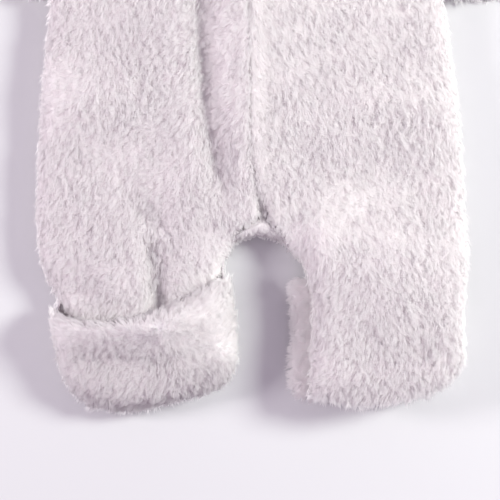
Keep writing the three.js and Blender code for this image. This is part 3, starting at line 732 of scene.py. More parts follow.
FRONT_LEFT_STROKES = (
    Stroke(9, -130, (0.1, -1.0)),
    Stroke(14, -209, (0.4, -1.0)),
    Stroke(37, -100, (0.35, -1.0)),
    Stroke(75, -130, (0.4, -1.0)),
    Stroke(127, -100, (0.3, -1.0)),
    Stroke(112, -190, (0.45, -1.0)),
    Stroke(150, -205, (0.3, -1.0)),
    Stroke(63, -224, (0.45, -0.95)),
    Stroke(30, -232, (-0.4, -0.8), 0.6),
    Stroke(52, -280, (-0.45, -1.0)),
    Stroke(45, -333, (-0.8, -0.7)),
    Stroke(67, -348, (-0.2, -1.0)),
    Stroke(112, -280, (0.25, -1.0)),
    Stroke(112, -340, (-0.05, -1.0)),
    Stroke(157, -318, (0.3, -1.0)),
)
COVER_STROKES = (
    Stroke(-128, -297, (-0.8, 0.9)),
    Stroke(-143, -288, (-0.5, 1.0)),
    Stroke(-98, -299, (-0.9, 0.6)),
    Stroke(-79, -294, (-0.2, 1.0)),
    Stroke(-64, -289, (0.1, 1.0)),
    Stroke(-49, -288, (0.7, 0.7)),
    Stroke(-27, -273, (0.6, 0.8)),
    Stroke(-19, -303, (0.5, 0.9)),
    Stroke(-128, -312, (-0.9, -0.6)),
    Stroke(-94, -314, (-0.7, -0.8)),
    Stroke(-68, -310, (0.0, -1.0)),
    Stroke(-45, -306, (0.9, 0.3)),
    Stroke(-113, -336, (-0.6, -0.9)),
    Stroke(-68, -336, (-0.2, -1.0)),
    Stroke(-30, -333, (0.4, -0.9)),
    Stroke(-90, -355, (-0.55, -0.9)),
)
TURNED_STROKES = (
    Stroke(34, -275, (-1.0, 0.1)),
    Stroke(34, -340, (-1.0, -0.4)),
    Stroke(70, -352, (-0.4, -1.0)),
    Stroke(120, -350, (0.2, -1.0)),
    Stroke(152, -330, (1.0, -0.5)),
    Stroke(154, -290, (1.0, 0.0)),
)
RIGHT_ARMHOLE_RIDGE = Crease(-3, 6, ((-146, 20), (-143, 50), (-131, 88), (-118, 140)))
LEFT_ARMHOLE_RIDGE = Crease(-3, 6, ((140, 20), (138, 50), (129, 88), (117, 140)))
CLOSURE_RIDGE = Crease(-3.4, 5.5, ((-0.5, 98), (-0.5, 0), (-0.5, -90), (-0.5, -140), (2, -180)))
CROTCH_DIMPLE = Crease(2.4, 4.5, ((7, -196), (9, -206), (9, -214), (4, -224)))
FRONT_RIGHT_CREASES = (
    RIGHT_ARMHOLE_RIDGE,
    Crease(2.1, 8, ((-34, 120), (-35, 20), (-34, -55), (-33, -93), (-32, -123), (-28, -158))),
    Crease(1.6, 8, ((-29, -140), (-24, -175), (-17, -208))),
    CLOSURE_RIDGE,
    Crease(-4, 7, ((-38, -275), (-25, -263), (-19, -254))),
    Crease(7, 4.5, ((-76, -224), (-72, -250), (-70, -269), (-69, -294))),
    Crease(2.2, 5, ((-152, -246), (-144, -268), (-140, -280))),
    CROTCH_DIMPLE,
    Crease(4, 6, ((-69, -277), (-60, -281))),
    Crease(1.5, 12, ((-160, -150), (-118, -163), (-80, -160), (-45, -176))),
    Crease(1.5, 10, ((-155, -215), (-120, -226), (-92, -216))),
    Crease(-1.2, 13, ((-150, -120), (-110, -128), (-70, -140))),
    Crease(1.5, 12, ((-150, 20), (-110, 5), (-70, 12))),
    Crease(-1.5, 14, ((-140, 70), (-100, 50), (-60, 60))),
)
FRONT_LEFT_CREASES = (
    LEFT_ARMHOLE_RIDGE,
    CLOSURE_RIDGE,
    CROTCH_DIMPLE,
    Crease(1.2, 12, ((25, -168), (70, -176), (120, -166))),
    Crease(-0.7, 13, ((60, -208), (100, -214), (150, -203))),
    Crease(1.4, 9, ((60, -255), (95, -262), (150, -252))),
    Crease(0.8, 11, ((70, -318), (110, -310), (150, -322))),
    Crease(1.5, 12, ((60, 5), (105, 15), (155, 2))),
    Crease(-1.4, 14, ((30, 60), (80, 75), (130, 60))),
)
COVER_CREASES = (
    Crease(-1.6, 7, ((-145, -302), (-98, -305), (-68, -300), (-40, -292), (-20, -270))),
    Crease(2.2, 8, ((-132, -322), (-105, -325), (-70, -322), (-45, -318))),
)
BACK_CREASES = (
    Crease(2, 12, ((-140, -20), (-80, -5), (-20, -15))),
    Crease(-1.5, 14, ((-130, -90), (-70, -105), (-30, -95))),
    Crease(1.5, 10, ((-125, -190), (-85, -205), (-50, -195))),
    Crease(2, 12, ((20, -10), (85, 5), (140, -10))),
    Crease(-1.5, 14, ((30, -110), (80, -95), (140, -105))),
    Crease(1.5, 10, ((50, -200), (85, -190), (130, -205))),
)
SLEEVE_CREASES = (
    RIGHT_ARMHOLE_RIDGE,
    LEFT_ARMHOLE_RIDGE,
    Crease(3, 8, ((-205, 45), (-175, 35), (-150, 48))),
    Crease(2, 7, ((-215, 15), (-185, 5), (-160, 12))),
    Crease(-1.5, 9, ((-200, 30), (-170, 20))),
    Crease(2.5, 8, ((150, 52), (180, 38), (208, 44))),
    Crease(2, 7, ((160, 18), (190, 8), (218, 16))),
    Crease(-1.5, 9, ((168, 24), (200, 32))),
)
HOOD_CREASES = (
    Crease(3, 9, ((-80, 170), (-60, 215), (-70, 260))),
    Crease(2.5, 10, ((-55, 300), (-35, 325), (-10, 338))),
    Crease(3, 9, ((76, 165), (62, 205), (74, 250))),
    Crease(2.5, 10, ((12, 334), (42, 322), (60, 290))),
)

PANELS = {
    "front_right": Panel(
        UP, "body", (0.18, 0.50), 0.073, creases=FRONT_RIGHT_CREASES, strokes=FRONT_RIGHT_STROKES
    ),
    "front_left": Panel(
        UP, "body", (0.18, 0.52), 0.075, creases=FRONT_LEFT_CREASES, strokes=FRONT_LEFT_STROKES
    ),
    "back_right": Panel(DOWN, "body", (0.18, 0.49), 0.072, pile=0.42, creases=BACK_CREASES),
    "back_left": Panel(DOWN, "body", (0.18, 0.52), 0.075, pile=0.42, creases=BACK_CREASES),
    "crotch_gusset": Panel(
        UP,
        "body",
        (0.045, 0.022),
        0.0007,
        pile=1.1,
        nap=0.6,
        inset=0.9,
        hold=0.5,
        creases=(CROTCH_DIMPLE,),
        strokes=GUSSET_STROKES,
    ),
    "sleeve_right": Panel(ROUND, "sleeve", (0.145, 0.19), 0.023, pile=0.6, creases=SLEEVE_CREASES),
    "sleeve_left": Panel(ROUND, "sleeve", (0.145, 0.19), 0.024, pile=0.6, creases=SLEEVE_CREASES),
    "hood_right": Panel(ROUND, "hood", (0.16, 0.25), 0.034, pile=0.6, creases=HOOD_CREASES),
    "hood_left": Panel(ROUND, "hood", (0.16, 0.25), 0.034, pile=0.6, creases=HOOD_CREASES),
    "foot_cover_right_upper": Panel(
        UP,
        "body",
        (0.145, 0.10),
        0.0118,
        inset=0.6,
        slot="cover_plush",
        creases=COVER_CREASES,
        strokes=COVER_STROKES,
    ),
    "foot_cover_right_under": Panel(
        DOWN, "body", (0.135, 0.042), 0.0046, pile=0.6, inset=0.6, slot="cover_plush"
    ),
    "foot_cover_left_upper": Panel(
        UP,
        "body",
        (0.125, 0.092),
        0.0104,
        pile=1.2,
        nap=0.8,
        inset=0.4,
        slot="cover_plush",
        strokes=TURNED_STROKES,
    ),
    "foot_cover_left_under": Panel(
        DOWN, "body", (0.125, 0.092), 0.0104, pile=0.45, nap=0.55, inset=0.45, slot="cover_plush"
    ),
}


def carries_pile(side, face):
    """Whether a face of a solid is on its furry side, or closes it at the shoulder or the neck."""
    middle = face.calc_center_median()
    height = middle.z - SEAM_HEIGHT
    if side == ROUND:
        neck = face.normal.y < -0.5 and height < 0 and abs(middle.x) < NECK_HALF
        return neck or face.normal.z * height > 0
    shoulder = face.normal.y > 0.7 and middle.y > SHOULDER_LOW and abs(middle.x) > NECK_HALF
    return shoulder or face.normal.z * (1 if side == UP else -1) > 0.05


def clamped(value):
    return max(0, min(1, value))


def over_shoulder(point):
    """1 at the shoulder's edge, where the pile falls over it, and 0 away from it."""
    out = abs(point.x) - NECK_HALF
    edge = SHOULDER_HIGH - out * SHOULDER_SLOPE
    return clamped(1 - (edge - point.y) / (12 * MM)) if out > 0 else 0


def furry_side(node, side):
    """The furry side of a solid as an open mesh, divided once and smoothed inside its own outline."""
    mesh = bmesh.new()
    mesh.from_mesh(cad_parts[node].data)
    bmesh.ops.remove_doubles(mesh, verts=mesh.verts, dist=0.01 * MM)
    mesh.normal_update()
    bare = [face for face in mesh.faces if not carries_pile(side, face)]
    bmesh.ops.delete(mesh, geom=bare, context="FACES")
    bmesh.ops.join_triangles(
        mesh,
        faces=mesh.faces,
        angle_face_threshold=math.radians(40),
        angle_shape_threshold=math.radians(70),
    )
    bmesh.ops.subdivide_edges(mesh, edges=mesh.edges, cuts=1, use_grid_fill=True)
    inside = [vertex for vertex in mesh.verts if not vertex.is_boundary]
    for _ in range(2):
        bmesh.ops.smooth_vert(
            mesh, verts=inside, factor=0.5, use_axis_x=True, use_axis_y=True, use_axis_z=True
        )
    data = bpy.data.meshes.new(node + " side")
    mesh.to_mesh(data)
    mesh.free()
    piece = add_object(node + " side", data)
    return piece


def evaluated_mesh(piece):
    """A plain mesh of what a piece's modifiers or curve make."""
    depsgraph = bpy.context.evaluated_depsgraph_get()
    return bpy.data.meshes.new_from_object(piece.evaluated_get(depsgraph), depsgraph=depsgraph)


def applied(piece):
    """Turns what a piece's modifiers make into its plain mesh."""
    data = evaluated_mesh(piece)
    old = piece.data
    piece.modifiers.clear()
    piece.data = data
    bpy.data.meshes.remove(old)
    return piece


def to_line(point, line):
    """Distance in plan from a point to a line of points, and the share of the line passed there."""
    best, passed = math.inf, 0
    for index, (start, end) in enumerate(zip(line, line[1:])):
        along = end - start
        share = clamped((point - start).dot(along) / max(along.length_squared, 1e-12))
        gap = (point - start - along * share).length
        if gap < best:
            best, passed = gap, (index + share) / (len(line) - 1)
    return best, passed


def crease_depth(point, creases):
    """How far the creases press the cloth in at a point."""
    depth = 0
    for crease in creases:
        near, passed = to_line(point.xy, [Vector(place) * MM for place in crease.points])
        fade = min(1, 5 * passed, 5 * (1 - passed)) if near < 3 * crease.half_width * MM else 0
        depth += fade * crease.depth * MM * math.exp(-((near / (crease.half_width * MM)) ** 2))
    return depth


def closure_line():
    """Middle of the zip tape at each of its rows, from the lowest, as (y, x)."""
    rows = {}
    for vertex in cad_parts["zip_tape"].data.vertices:
        rows.setdefault(round(vertex.co.y, 4), []).append(vertex.co.x)
    return sorted((y, (min(xs) + max(xs)) / 2) for y, xs in rows.items())


CLOSURE = closure_line()


def closure_x(y):
    ys, xs = zip(*CLOSURE)
    return float(np.interp(y, ys, xs))


def seam_lines():
    """The butted seams: the closure, the two that hold the gusset, the armholes and the neck."""
    low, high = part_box("crotch_gusset")
    closure = [Vector((x, y)) for y, x in CLOSURE]
    point = Vector((closure[0].x, high.y))
    drawn = [[Vector(place) * MM for place in line] for line in (*ARMHOLES, NECKLINE)]
    return (closure, [low.xy, point, Vector((high.x, low.y))], *drawn)


SEAM_LINES = seam_lines()


def beside_seam(point):
    """1 at a butted seam, and 0 away from it."""
    near = min(to_line(point.xy, line)[0] for line in SEAM_LINES)
    return math.exp(-((near / SEAM_REACH) ** 2))


def combed(point, strokes):
    """The way that the nearest strokes of the comb leave the pile, and the share of its length."""
    way, nap, total = Vector((0, 0)), 0, 0
    for stroke in strokes:
        near = (point.xy - Vector((stroke.x, stroke.y)) * MM).length / (10 * MM)
        weight = (near + 0.3) ** -3.5
        way += Vector(stroke.way).normalized() * weight
        nap += stroke.nap * weight
        total += weight
    return way.normalized().to_3d(), nap / total


def comb_at(panel, point, normal, low, size):
    """The way that the pile lies at a point."""
    across = (point.x - low.x) / size.x
    if panel.lie == "sleeve":
        out = 1 if low.x > 0 else -1
        return Vector((out * 0.45, -0.9, 0))
    if panel.lie == "hood":
        away = (point - HOOD_MIDDLE) * Vector((1, 1, 0))
        away = away.normalized() if away.length > 1e-6 else Vector((0, -1, 0))
        if normal.z < 0:
            return Vector((away.x * 0.4, -0.9, 0))
        return away
    return Vector((SPLAY * (2 * across - 1), -1, 0)).normalized()


def nap_at(panel, point):
    """Share of the full strand length: short round the slider, and short behind the crotch."""
    if panel.side == DOWN:
        near = (point.xy - CROTCH).length
        return 0.4 + 0.6 * clamped((near - 20 * MM) / (25 * MM))
    near = ((point - SLIDER_MIDDLE) * Vector((1, 0.8, 0))).length
    return 0.45 + 0.55 * clamped((near - 9 * MM) / (14 * MM))


def comb_piece(piece, panel, inset, low, size):
    """Moves the cloth down into the pile, presses its creases and writes what the pile grows by."""
    data = piece.data
    normals = [vertex.normal.copy() for vertex in data.vertices]
    combs, outwards, naps = [], [], []
    for vertex, normal in zip(data.vertices, normals):
        point = vertex.co.copy()
        held = panel.hold * beside_seam(point)
        below = panel.side == DOWN or (panel.side == ROUND and point.z < SEAM_HEIGHT)
        outward = normal.lerp(Vector((0, 0, -1 if below else 1)), SEAM_HOLD * held).normalized()
        if panel.strokes:
            way, nap = combed(point, panel.strokes)
        else:
            way, nap = comb_at(panel, point, normal, low, size), 1
        if panel.lie == "body":
            way = way.lerp(Vector((0, 1, 0)), over_shoulder(point))
        combs.extend(way)
        outwards.extend(outward)
        if panel.lie == "hood" and normal.y < -0.7 and below:
            nap = NECK_SEAM_NAP
        naps.append(panel.nap * nap * nap_at(panel, point) * (1 - SEAM_NAP_LOSS * held))
        vertex.co = point - outward * (inset * (1 - SEAM_HOLD * held) + crease_depth(point, panel.creases))
        vertex.co.z = max(vertex.co.z, CLEARANCE)
    for name, kind, key, values in (
        ("comb", "FLOAT_VECTOR", "vector", combs),
        ("outward", "FLOAT_VECTOR", "vector", outwards),
        ("nap", "FLOAT", "value", naps),
    ):
        data.attributes.new(name, kind, "POINT").data.foreach_set(key, values)
    data.update()


def make_strand():
    """One strand of unit length, bent over towards its tip, with its width across and its own map."""
    name = "plush strand"
    found = bpy.data.objects.get(name)
    if found:
        return found
    half_width, shoulder, bow = 0.5, 0.58, 0.15
    corners = ((0, 0, 0), (bow, half_width, shoulder), (bow, -half_width, shoulder), (0, 0, 1))
    data = bpy.data.meshes.new(name)
    data.from_pydata(corners, [], [(0, 1, 2), (2, 1, 3)])
    along = data.attributes.new("along", "FLOAT", "POINT")
    across = data.attributes.new("across", "FLOAT", "POINT")
    along.data.foreach_set("value", [corner[2] for corner in corners])
    across.data.foreach_set("value", [corner[1] + 0.5 for corner in corners])
    piece = add_object(name, data)
    piece.hide_render = True
    return piece


def grow_pile(backing, name, panel, plush, finish):
    """Grows the pile on a copy of the cloth's outer side, and returns it as a plain mesh."""
    piece = add_object(name, backing.data.copy())
    tree = pile_growth()
    growth = piece.modifiers.new("Growth", "NODES")
    growth.node_group = tree
    values = {
        "Strand": make_strand(),
        "Density": plush.density * panel.pile,
        "Seed": plush.seed + sorted(PANELS).index(backing["node"]),
        "Length": plush.strand_length,
        "Width": plush.strand_width / math.sqrt(panel.pile),
        "Lean": plush.lean,
        "Lock Size": plush.lock_size,
        "Lock Pull": plush.lock_pull,
        "Lock Turn": plush.lock_turn,
        "Swirl": plush.swirl,
        "Swirl Size": plush.swirl_size,
        "Finish": finish,
    }
    for socket in tree.interface.items_tree:
        if socket.in_out == "INPUT" and socket.name in values:
            growth[socket.identifier] = values[socket.name]
    applied(piece)
    soften(piece.data)
    return piece


def soften(data):
    """Lifts strands off the surface below and turns their shading towards that of the whole cloth."""
    count = len(data.vertices)
    places = np.empty(count * 3, np.float32)
    data.vertices.foreach_get("co", places)
    places = places.reshape(-1, 3)
    places[:, 2] = np.maximum(places[:, 2], CLEARANCE)
    data.vertices.foreach_set("co", places.ravel())
    data.update()
    own = np.empty(count * 3, np.float32)
    data.vertices.foreach_get("normal", own)
    cloth = np.empty(count * 3, np.float32)
    data.attributes["outward"].data.foreach_get("vector", cloth)
    mixed = own.reshape(-1, 3) * (1 - SOFTNESS) + cloth.reshape(-1, 3) * SOFTNESS
    mixed /= np.maximum(np.linalg.norm(mixed, axis=1, keepdims=True), 1e-9)
    data.polygons.foreach_set("use_smooth", [True] * len(data.polygons))
    data.normals_split_custom_set_from_vertices(mixed.tolist())
    for name in ("outward", "comb", "nap", "tint", "along", "across"):
        found = data.attributes.get(name)
        if found:
            data.attributes.remove(found)


def give_wall(piece, thickness, outer, inner):
    """Makes the open cloth a closed wall, with its own finish inside."""
    piece.data.materials.clear()
    piece.data.materials.append(outer)
    piece.data.materials.append(inner)
    wall = piece.modifiers.new("Wall", "SOLIDIFY")
    wall.thickness = thickness
    wall.offset = -1
    # the cut rim takes the darker wrong side too: a real cut edge, and its darker tone also stands in for the
    # shade at the exposed rims
    wall.material_offset = wall.material_offset_rim = 1
    applied(piece)
    piece.data.polygons.foreach_set("use_smooth", [True] * len(piece.data.polygons))
    for name in ("outward", "comb", "nap"):
        piece.data.attributes.remove(piece.data.attributes[name])


def make_plush_panel(context, node):
    """One panel: its cloth as a thin wall and its pile, in place of its solid."""
    plush = context.scene.romper_plush
    panel = PANELS[node]
    low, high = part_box(node)
    cloth = furry_side(node, panel.side)
    cloth.name = node + "_cloth"
    cloth["node"] = node
    comb_piece(cloth, panel, plush.inset * panel.inset, low, high - low)
    if panel.slot == "plush":
        finish = the_finish("plush pile", pile_finish, "plush pile", plush)
    # the foot covers get a darker copy of the pile finish, as painted shade
    else:
        finish = the_finish("cover pile", pile_finish, "cover pile", plush, COVER_PAINTED_SHADE)
    pile = grow_pile(cloth, node + "_pile", panel, plush, finish)
    give_wall(
        cloth,
        plush.cloth,
        the_finish("plush backing", backing_finish, plush),
        the_finish("plush wrong side", knit_finish, plush),
    )
    for piece in (cloth, pile):
        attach(piece, GARMENT)
    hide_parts(node)


# ---- zip --------------------------------------------------------------------------------------

PULL_LEAN = math.radians(11)       # how far the pull's end lies down at rest
HINGE = Vector((-0.0005, 0.1073, 0.0205))
FLAT = (0, 0, 0)
UPRIGHT = (math.pi / 2, 0, math.pi / 2)     # a plate that stands across the middle of the zip


def rounded(points, radius, steps=5):
    """An outline with its corners rounded off."""
    outline = []
    corners = [Vector(point) for point in points]
    for index, corner in enumerate(corners):
        back = corners[index - 1] - corner
        ahead = corners[(index + 1) % len(corners)] - corner
        cut = min(radius, back.length / 2.05, ahead.length / 2.05)
        start, end = corner + back.normalized() * cut, corner + ahead.normalized() * cut
        for step in range(steps + 1):
            share = step / steps
            outline.append(start.lerp(corner, share).lerp(corner.lerp(end, share), share))
    return outline


def plate(name, outlines, thickness, edge, turn, place):
    """A flat plate with softened edges, drawn about z = 0, then turned by three angles and moved. The
    first outline is its rim, the others holes."""
    curve = bpy.data.curves.new(name, "CURVE")
    curve.dimensions = "2D"
    curve.fill_mode = "BOTH"
    curve.extrude = thickness / 2 - edge
    curve.bevel_depth = edge
    curve.bevel_resolution = 2
    curve.offset = -edge
    for outline in outlines:
        spline = curve.splines.new("POLY")
        spline.points.add(len(outline) - 1)
        for knot, point in zip(spline.points, outline):
            knot.co = (point.x, point.y, 0, 1)
        spline.use_cyclic_u = True
    piece = add_object(name, curve)
    data = evaluated_mesh(piece)
    bpy.data.objects.remove(piece)
    bpy.data.curves.remove(curve)
    data.transform(Euler(turn).to_matrix().to_4x4())
    data.transform(Matrix.Translation(place))
    return data


def piece_of(name, meshes, finish):
    """One object of several meshes, in one finish."""
    joined = bmesh.new()
    for data in meshes:
        joined.from_mesh(data)
        bpy.data.meshes.remove(data)
    bmesh.ops.remove_doubles(joined, verts=joined.verts, dist=0.004 * MM)
    bmesh.ops.recalc_face_normals(joined, faces=joined.faces)
    data = bpy.data.meshes.new(name)
    joined.to_mesh(data)
    joined.free()
    data.materials.append(finish)
    data.polygons.foreach_set("use_smooth", [True] * len(data.polygons))
    data.set_sharp_from_angle(angle=math.radians(38))
    piece = add_object(name, data)
    return piece


def tube(name, path, radius, sides=6):
    """A wire along a path of points."""
    rings, faces = [], []
    for index, point in enumerate(path):
        ahead = (path[min(index + 1, len(path) - 1)] - path[max(index - 1, 0)]).normalized()
        across = ahead.cross(Vector((0, 0, 1)) if abs(ahead.z) < 0.9 else Vector((0, 1, 0))).normalized()
        up = across.cross(ahead)
        for side in range(sides):
            turn = 2 * math.pi * side / sides
            rings.append(point + (across * math.cos(turn) + up * math.sin(turn)) * radius)
        if index:
            low = (index - 1) * sides
            for side in range(sides):
                after = (side + 1) % sides
                faces.append((low + side, low + after, low + sides + after, low + sides + side))
    data = bpy.data.meshes.new(name)
    ends = (tuple(range(sides))[::-1], tuple(range(len(rings) - sides, len(rings))))
    data.from_pydata(rings, [], [ends[0], *faces, ends[1]])
    return data


def make_tape(zip_sizes):
    """The woven tape on its solid's form, with a coil of teeth along each side of its middle."""
    finish = the_finish("zip tape weave", tape_finish, zip_sizes)
    tape = piece_of("zip_tape_weave", [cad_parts["zip_tape"].data.copy()], finish)
    low, high = CLOSURE[0][0] + 3 * MM, CLOSURE[-1][0] - 9 * MM
    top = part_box("zip_tape")[1].z
    reach, rise, steps = 1.9 * MM, 0.8 * MM, 8
    coils = []
    for side in (-1, 1):
        turns = int((high - low) / zip_sizes.pitch)
        path = []
        for step in range(turns * steps):
            turn = 2 * math.pi * step / steps
            y = low + zip_sizes.pitch * (step / steps + (0.5 if side > 0 else 0))
            x = closure_x(y) + side * (1.0 * MM + reach * math.cos(turn))
            path.append(Vector((x, y, top - rise + rise * math.sin(turn) * side)))
        coils.append(tube("coil", path, zip_sizes.wire / 2, 5))
    coil = piece_of("zip_coil", coils, the_finish("zip coil", coil_finish, zip_sizes))
    for piece in (tape, coil):
        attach(piece, GARMENT)
    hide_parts("zip_tape")


def make_slider(zip_sizes):
    """Two shield-shaped plates on a post, turned down at the sides, with a bridge on top."""
    middle = SLIDER_MIDDLE
    width, length = SLIDER_HIGH.x - SLIDER_LOW.x, SLIDER_HIGH.y - SLIDER_LOW.y
    half, end, wall, edge = width / 2, length / 2, 1.3 * MM, 0.35 * MM
    shield = rounded(
        ((-half * 0.72, -end), (half * 0.72, -end), (half, end * 0.1), (half * 0.9, end), (-half * 0.9, end),
         (-half, end * 0.1)), 1.6 * MM
    )
    body_top = SLIDER_LOW.z + 4.5 * MM
    meshes = [
        plate("plate", [shield], wall, edge, FLAT, (middle.x, middle.y, z))
        for z in (SLIDER_LOW.z + wall / 2, body_top - wall / 2)
    ]
    lip = rounded(
        ((-end * 0.8, 0), (end * 0.55, 0), (end * 0.55, 1.2 * MM), (-end * 0.8, 1.2 * MM)), 0.5 * MM
    )
    for side in (-1, 1):
        meshes.append(
            plate(
                "lip",
                [lip],
                0.9 * MM,
                0.3 * MM,
                UPRIGHT,
                (middle.x + side * (half * 0.86 - 0.45 * MM), middle.y, body_top - wall - 1.0 * MM),
            )
        )
    post = rounded(((-1.3 * MM, 0), (0, -3.2 * MM), (1.3 * MM, 0), (0, 1.6 * MM)), 0.6 * MM)
    meshes.append(
        plate(
            "post",
            [post],
            2.6 * MM,
            0.2 * MM,
            FLAT,
            (middle.x, middle.y + end * 0.62, (SLIDER_LOW.z + body_top) / 2),
        )
    )
    foot, reach, rise, bar = -0.6 * MM, 4 * MM, SLIDER_HIGH.z - body_top, 1.3 * MM
    arch = rounded(
        ((-reach, foot), (-reach, rise), (reach, rise), (reach, foot), (reach - bar, foot),
         (reach - bar, rise - bar), (bar - reach, rise - bar), (bar - reach, foot)), 1.4 * MM
    )
    meshes.append(
        plate("bridge", [arch], 2.6 * MM, 0.4 * MM, UPRIGHT, (middle.x, middle.y, body_top))
    )
    slider = piece_of("zip_slider_metal", meshes, the_finish("zip nickel", nickel_finish, zip_sizes))
    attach(slider, GARMENT)
    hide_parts("zip_slider")


def make_pull(zip_sizes):
    """A tapered tab with an eye for the bridge, a raised web in its middle and a slot near its end."""
    half, bar, length, thick = 2.9 * MM, 0.7 * MM, 26 * MM, 1.4 * MM
    tab = rounded(
        ((-half, bar), (-half, -6.5 * MM), (-half * 0.72, -10 * MM), (-half, -21 * MM),
         (-half * 0.8, -length), (half * 0.8, -length), (half, -21 * MM), (half * 0.72, -10 * MM),
         (half, -6.5 * MM), (half, bar)),
        1.3 * MM,
    )
    eye = rounded(
        ((-1.7 * MM, -bar), (1.7 * MM, -bar), (1.7 * MM, -5.6 * MM), (-1.7 * MM, -5.6 * MM)), 0.5 * MM
    )
    slot = rounded(
        ((-0.9 * MM, -18 * MM), (0.9 * MM, -18 * MM), (0.9 * MM, -23.5 * MM), (-0.9 * MM, -23.5 * MM)),
        0.85 * MM,
    )
    web = rounded(
        ((-half * 0.6, -8.8 * MM), (half * 0.6, -8.8 * MM), (half * 0.55, -16 * MM),
         (-half * 0.55, -16 * MM)),
        0.8 * MM,
    )
    turn = (-PULL_LEAN, 0, 0)
    meshes = [
        plate("tab", [tab, eye, slot], thick, 0.3 * MM, turn, HINGE),
        plate("web", [web], thick + 0.3 * MM, 0.1 * MM, turn, HINGE),
    ]
    pull = piece_of("zip_pull_tab", meshes, the_finish("zip nickel", nickel_finish, zip_sizes))
    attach(pull, PULL)
    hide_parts("zip_pull")


# ---- stage ------------------------------------------------------------------------------------

LAMP_DISTANCE = 1.8
LAMP_AIM = Vector((0, -0.2, 0))
KEY_COLOUR = (0.945, 1.0, 0.935)
SIDE_COLOUR = (0.96, 0.93, 0.94)
FILL_COLOUR = (0.95, 0.81, 1.0)
SENSOR = 36                # millimetres
CLOTH_TOP = 20 * MM        # the height at which the camera takes in the view's width


def add_area_light(name, turn, height, size, power, colour):
    """A round lamp that looks at the middle of the view, turn degrees round from the right and height
    degrees up."""
    turn, height = math.radians(turn), math.radians(height)
    way = Vector((math.cos(turn) * math.cos(height), math.sin(turn) * math.cos(height), math.sin(height)))
    lamp = bpy.data.lights.new(name, "AREA")
    lamp.shape = "DISK"
    lamp.size = size
    lamp.energy = power
    lamp.color = colour
    holder = add_object(name, lamp)
    holder.location = LAMP_AIM + way * LAMP_DISTANCE
    holder.rotation_euler = way.to_track_quat("Z", "Y").to_euler()


def make_floor(stage):
    bpy.ops.mesh.primitive_plane_add(size=6, location=(0, 0, 0))
    floor = bpy.context.object
    floor.name = "floor"
    floor.data.materials.append(floor_finish(stage))


def make_lights(stage):
    add_area_light("key", turn=14, height=33, size=0.55, power=stage.key, colour=KEY_COLOUR)
    add_area_light("side", turn=175, height=27, size=0.5, power=stage.side, colour=SIDE_COLOUR)
    world = bpy.data.worlds.new("soft studio")
    bpy.context.scene.world = world
    world.use_nodes = True
    back = world.node_tree.nodes["Background"]
    back.inputs["Color"].default_value = solid(FILL_COLOUR)
    back.inputs["Strength"].default_value = stage.fill


def make_camera(stage):
    camera = bpy.data.cameras.new("camera")
    camera.sensor_width = SENSOR
    camera.lens = stage.lens
    camera.clip_end = 20
    holder = add_object("camera", camera)
    holder.location = (stage.view_x, stage.view_y, CLOTH_TOP + stage.view_width * stage.lens / SENSOR)
    bpy.context.scene.camera = holder


# ---- operators --------------------------------------------------------------------------------


class PlushOperator:
    """Shared part of the operators that make plush panels."""

    bl_options = {"REGISTER", "UNDO"}
    nodes = ()

    def execute(self, context):
        for node in self.nodes:
            make_plush_panel(context, node)
        return {"FINISHED"}


class ROMPER_OT_fronts(PlushOperator, bpy.types.Operator):
    """Make the two fronts, which meet at the hidden zip"""

    bl_idname = "romper.fronts"
    bl_label = "Fronts"
    nodes = ("front_right", "front_left")


class ROMPER_OT_backs(PlushOperator, bpy.types.Operator):
    """Make the two backs, which the romper lies on"""

    bl_idname = "romper.backs"
    bl_label = "Backs"
    nodes = ("back_right", "back_left")


class ROMPER_OT_gusset(PlushOperator, bpy.types.Operator):
    """Make the small gusset between the legs"""

    bl_idname = "romper.gusset"
    bl_label = "Gusset"
    nodes = ("crotch_gusset",)


class ROMPER_OT_foot_covers(PlushOperator, bpy.types.Operator):
    """Make the turned foot covers at the ends of the legs"""

    bl_idname = "romper.foot_covers"
    bl_label = "Foot Covers"
    nodes = (
        "foot_cover_right_upper",
        "foot_cover_right_under",
        "foot_cover_left_upper",
        "foot_cover_left_under",
    )


class ROMPER_OT_sleeves(PlushOperator, bpy.types.Operator):
    """Make the two sleeves, which lie at the sides"""

    bl_idname = "romper.sleeves"
    bl_label = "Sleeves"
    nodes = ("sleeve_right", "sleeve_left")


class ROMPER_OT_hood(PlushOperator, bpy.types.Operator):
    """Make the two halves of the hood"""

    bl_idname = "romper.hood"
    bl_label = "Hood"
    nodes = ("hood_right", "hood_left")


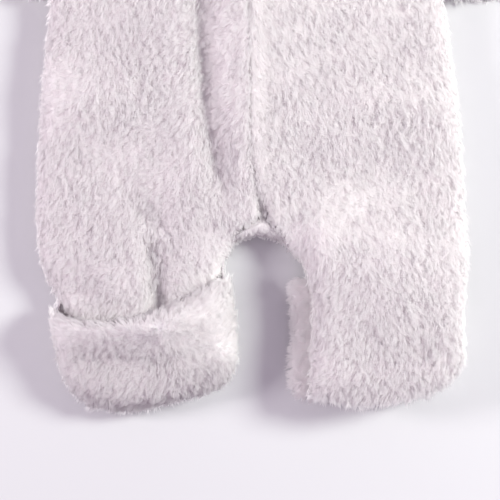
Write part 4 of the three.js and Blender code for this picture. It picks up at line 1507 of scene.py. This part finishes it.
class ROMPER_OT_zip(bpy.types.Operator):
    """Make the hidden zip: its tape, its coils, its slider and the slider's pull"""

    bl_idname = "romper.zip"
    bl_label = "Zip"
    bl_options = {"REGISTER", "UNDO"}

    def execute(self, context):
        zip_sizes = context.scene.romper_zip
        make_tape(zip_sizes)
        make_slider(zip_sizes)
        make_pull(zip_sizes)
        return {"FINISHED"}


class ROMPER_OT_stage(bpy.types.Operator):
    """Make the floor, the light and the camera"""

    bl_idname = "romper.stage"
    bl_label = "Stage"
    bl_options = {"REGISTER", "UNDO"}

    def execute(self, context):
        stage = context.scene.romper_stage
        make_floor(stage)
        make_lights(stage)
        make_camera(stage)
        context.scene.view_settings.view_transform = "Standard"
        return {"FINISHED"}


class ROMPER_PT_panel(bpy.types.Panel):
    """The romper's pieces and sizes"""

    bl_idname = "ROMPER_PT_panel"
    bl_label = "Hooded Romper"
    bl_space_type = "VIEW_3D"
    bl_region_type = "UI"
    bl_category = "Romper"

    def draw(self, context):
        layout = self.layout
        for group in GROUPS:
            settings = getattr(context.scene, group)
            box = layout.box()
            for name in settings.bl_rna.properties.keys():
                if name not in ("rna_type", "name"):
                    box.prop(settings, name)
        for operator in OPERATORS:
            layout.operator(operator.bl_idname)


OPERATORS = (
    ROMPER_OT_fronts,
    ROMPER_OT_backs,
    ROMPER_OT_gusset,
    ROMPER_OT_foot_covers,
    ROMPER_OT_sleeves,
    ROMPER_OT_hood,
    ROMPER_OT_zip,
    ROMPER_OT_stage,
)
GROUPS = {"romper_plush": RomperPlush, "romper_zip": RomperZip, "romper_stage": RomperStage}
CLASSES = (*GROUPS.values(), *OPERATORS, ROMPER_PT_panel)


def register():
    for cls in CLASSES:
        bpy.utils.register_class(cls)
    for name, group in GROUPS.items():
        setattr(bpy.types.Scene, name, PointerProperty(type=group))


def unregister():
    for name in GROUPS:
        delattr(bpy.types.Scene, name)
    for cls in reversed(CLASSES):
        bpy.utils.unregister_class(cls)


def main():
    """Makes the whole scene."""
    register()
    bpy.ops.romper.fronts()
    bpy.ops.romper.backs()
    bpy.ops.romper.gusset()
    bpy.ops.romper.foot_covers()
    bpy.ops.romper.sleeves()
    bpy.ops.romper.hood()
    bpy.ops.romper.zip()
    bpy.ops.romper.stage()
    bpy.data.objects.remove(make_strand())


if __name__ == "__main__":
    main()
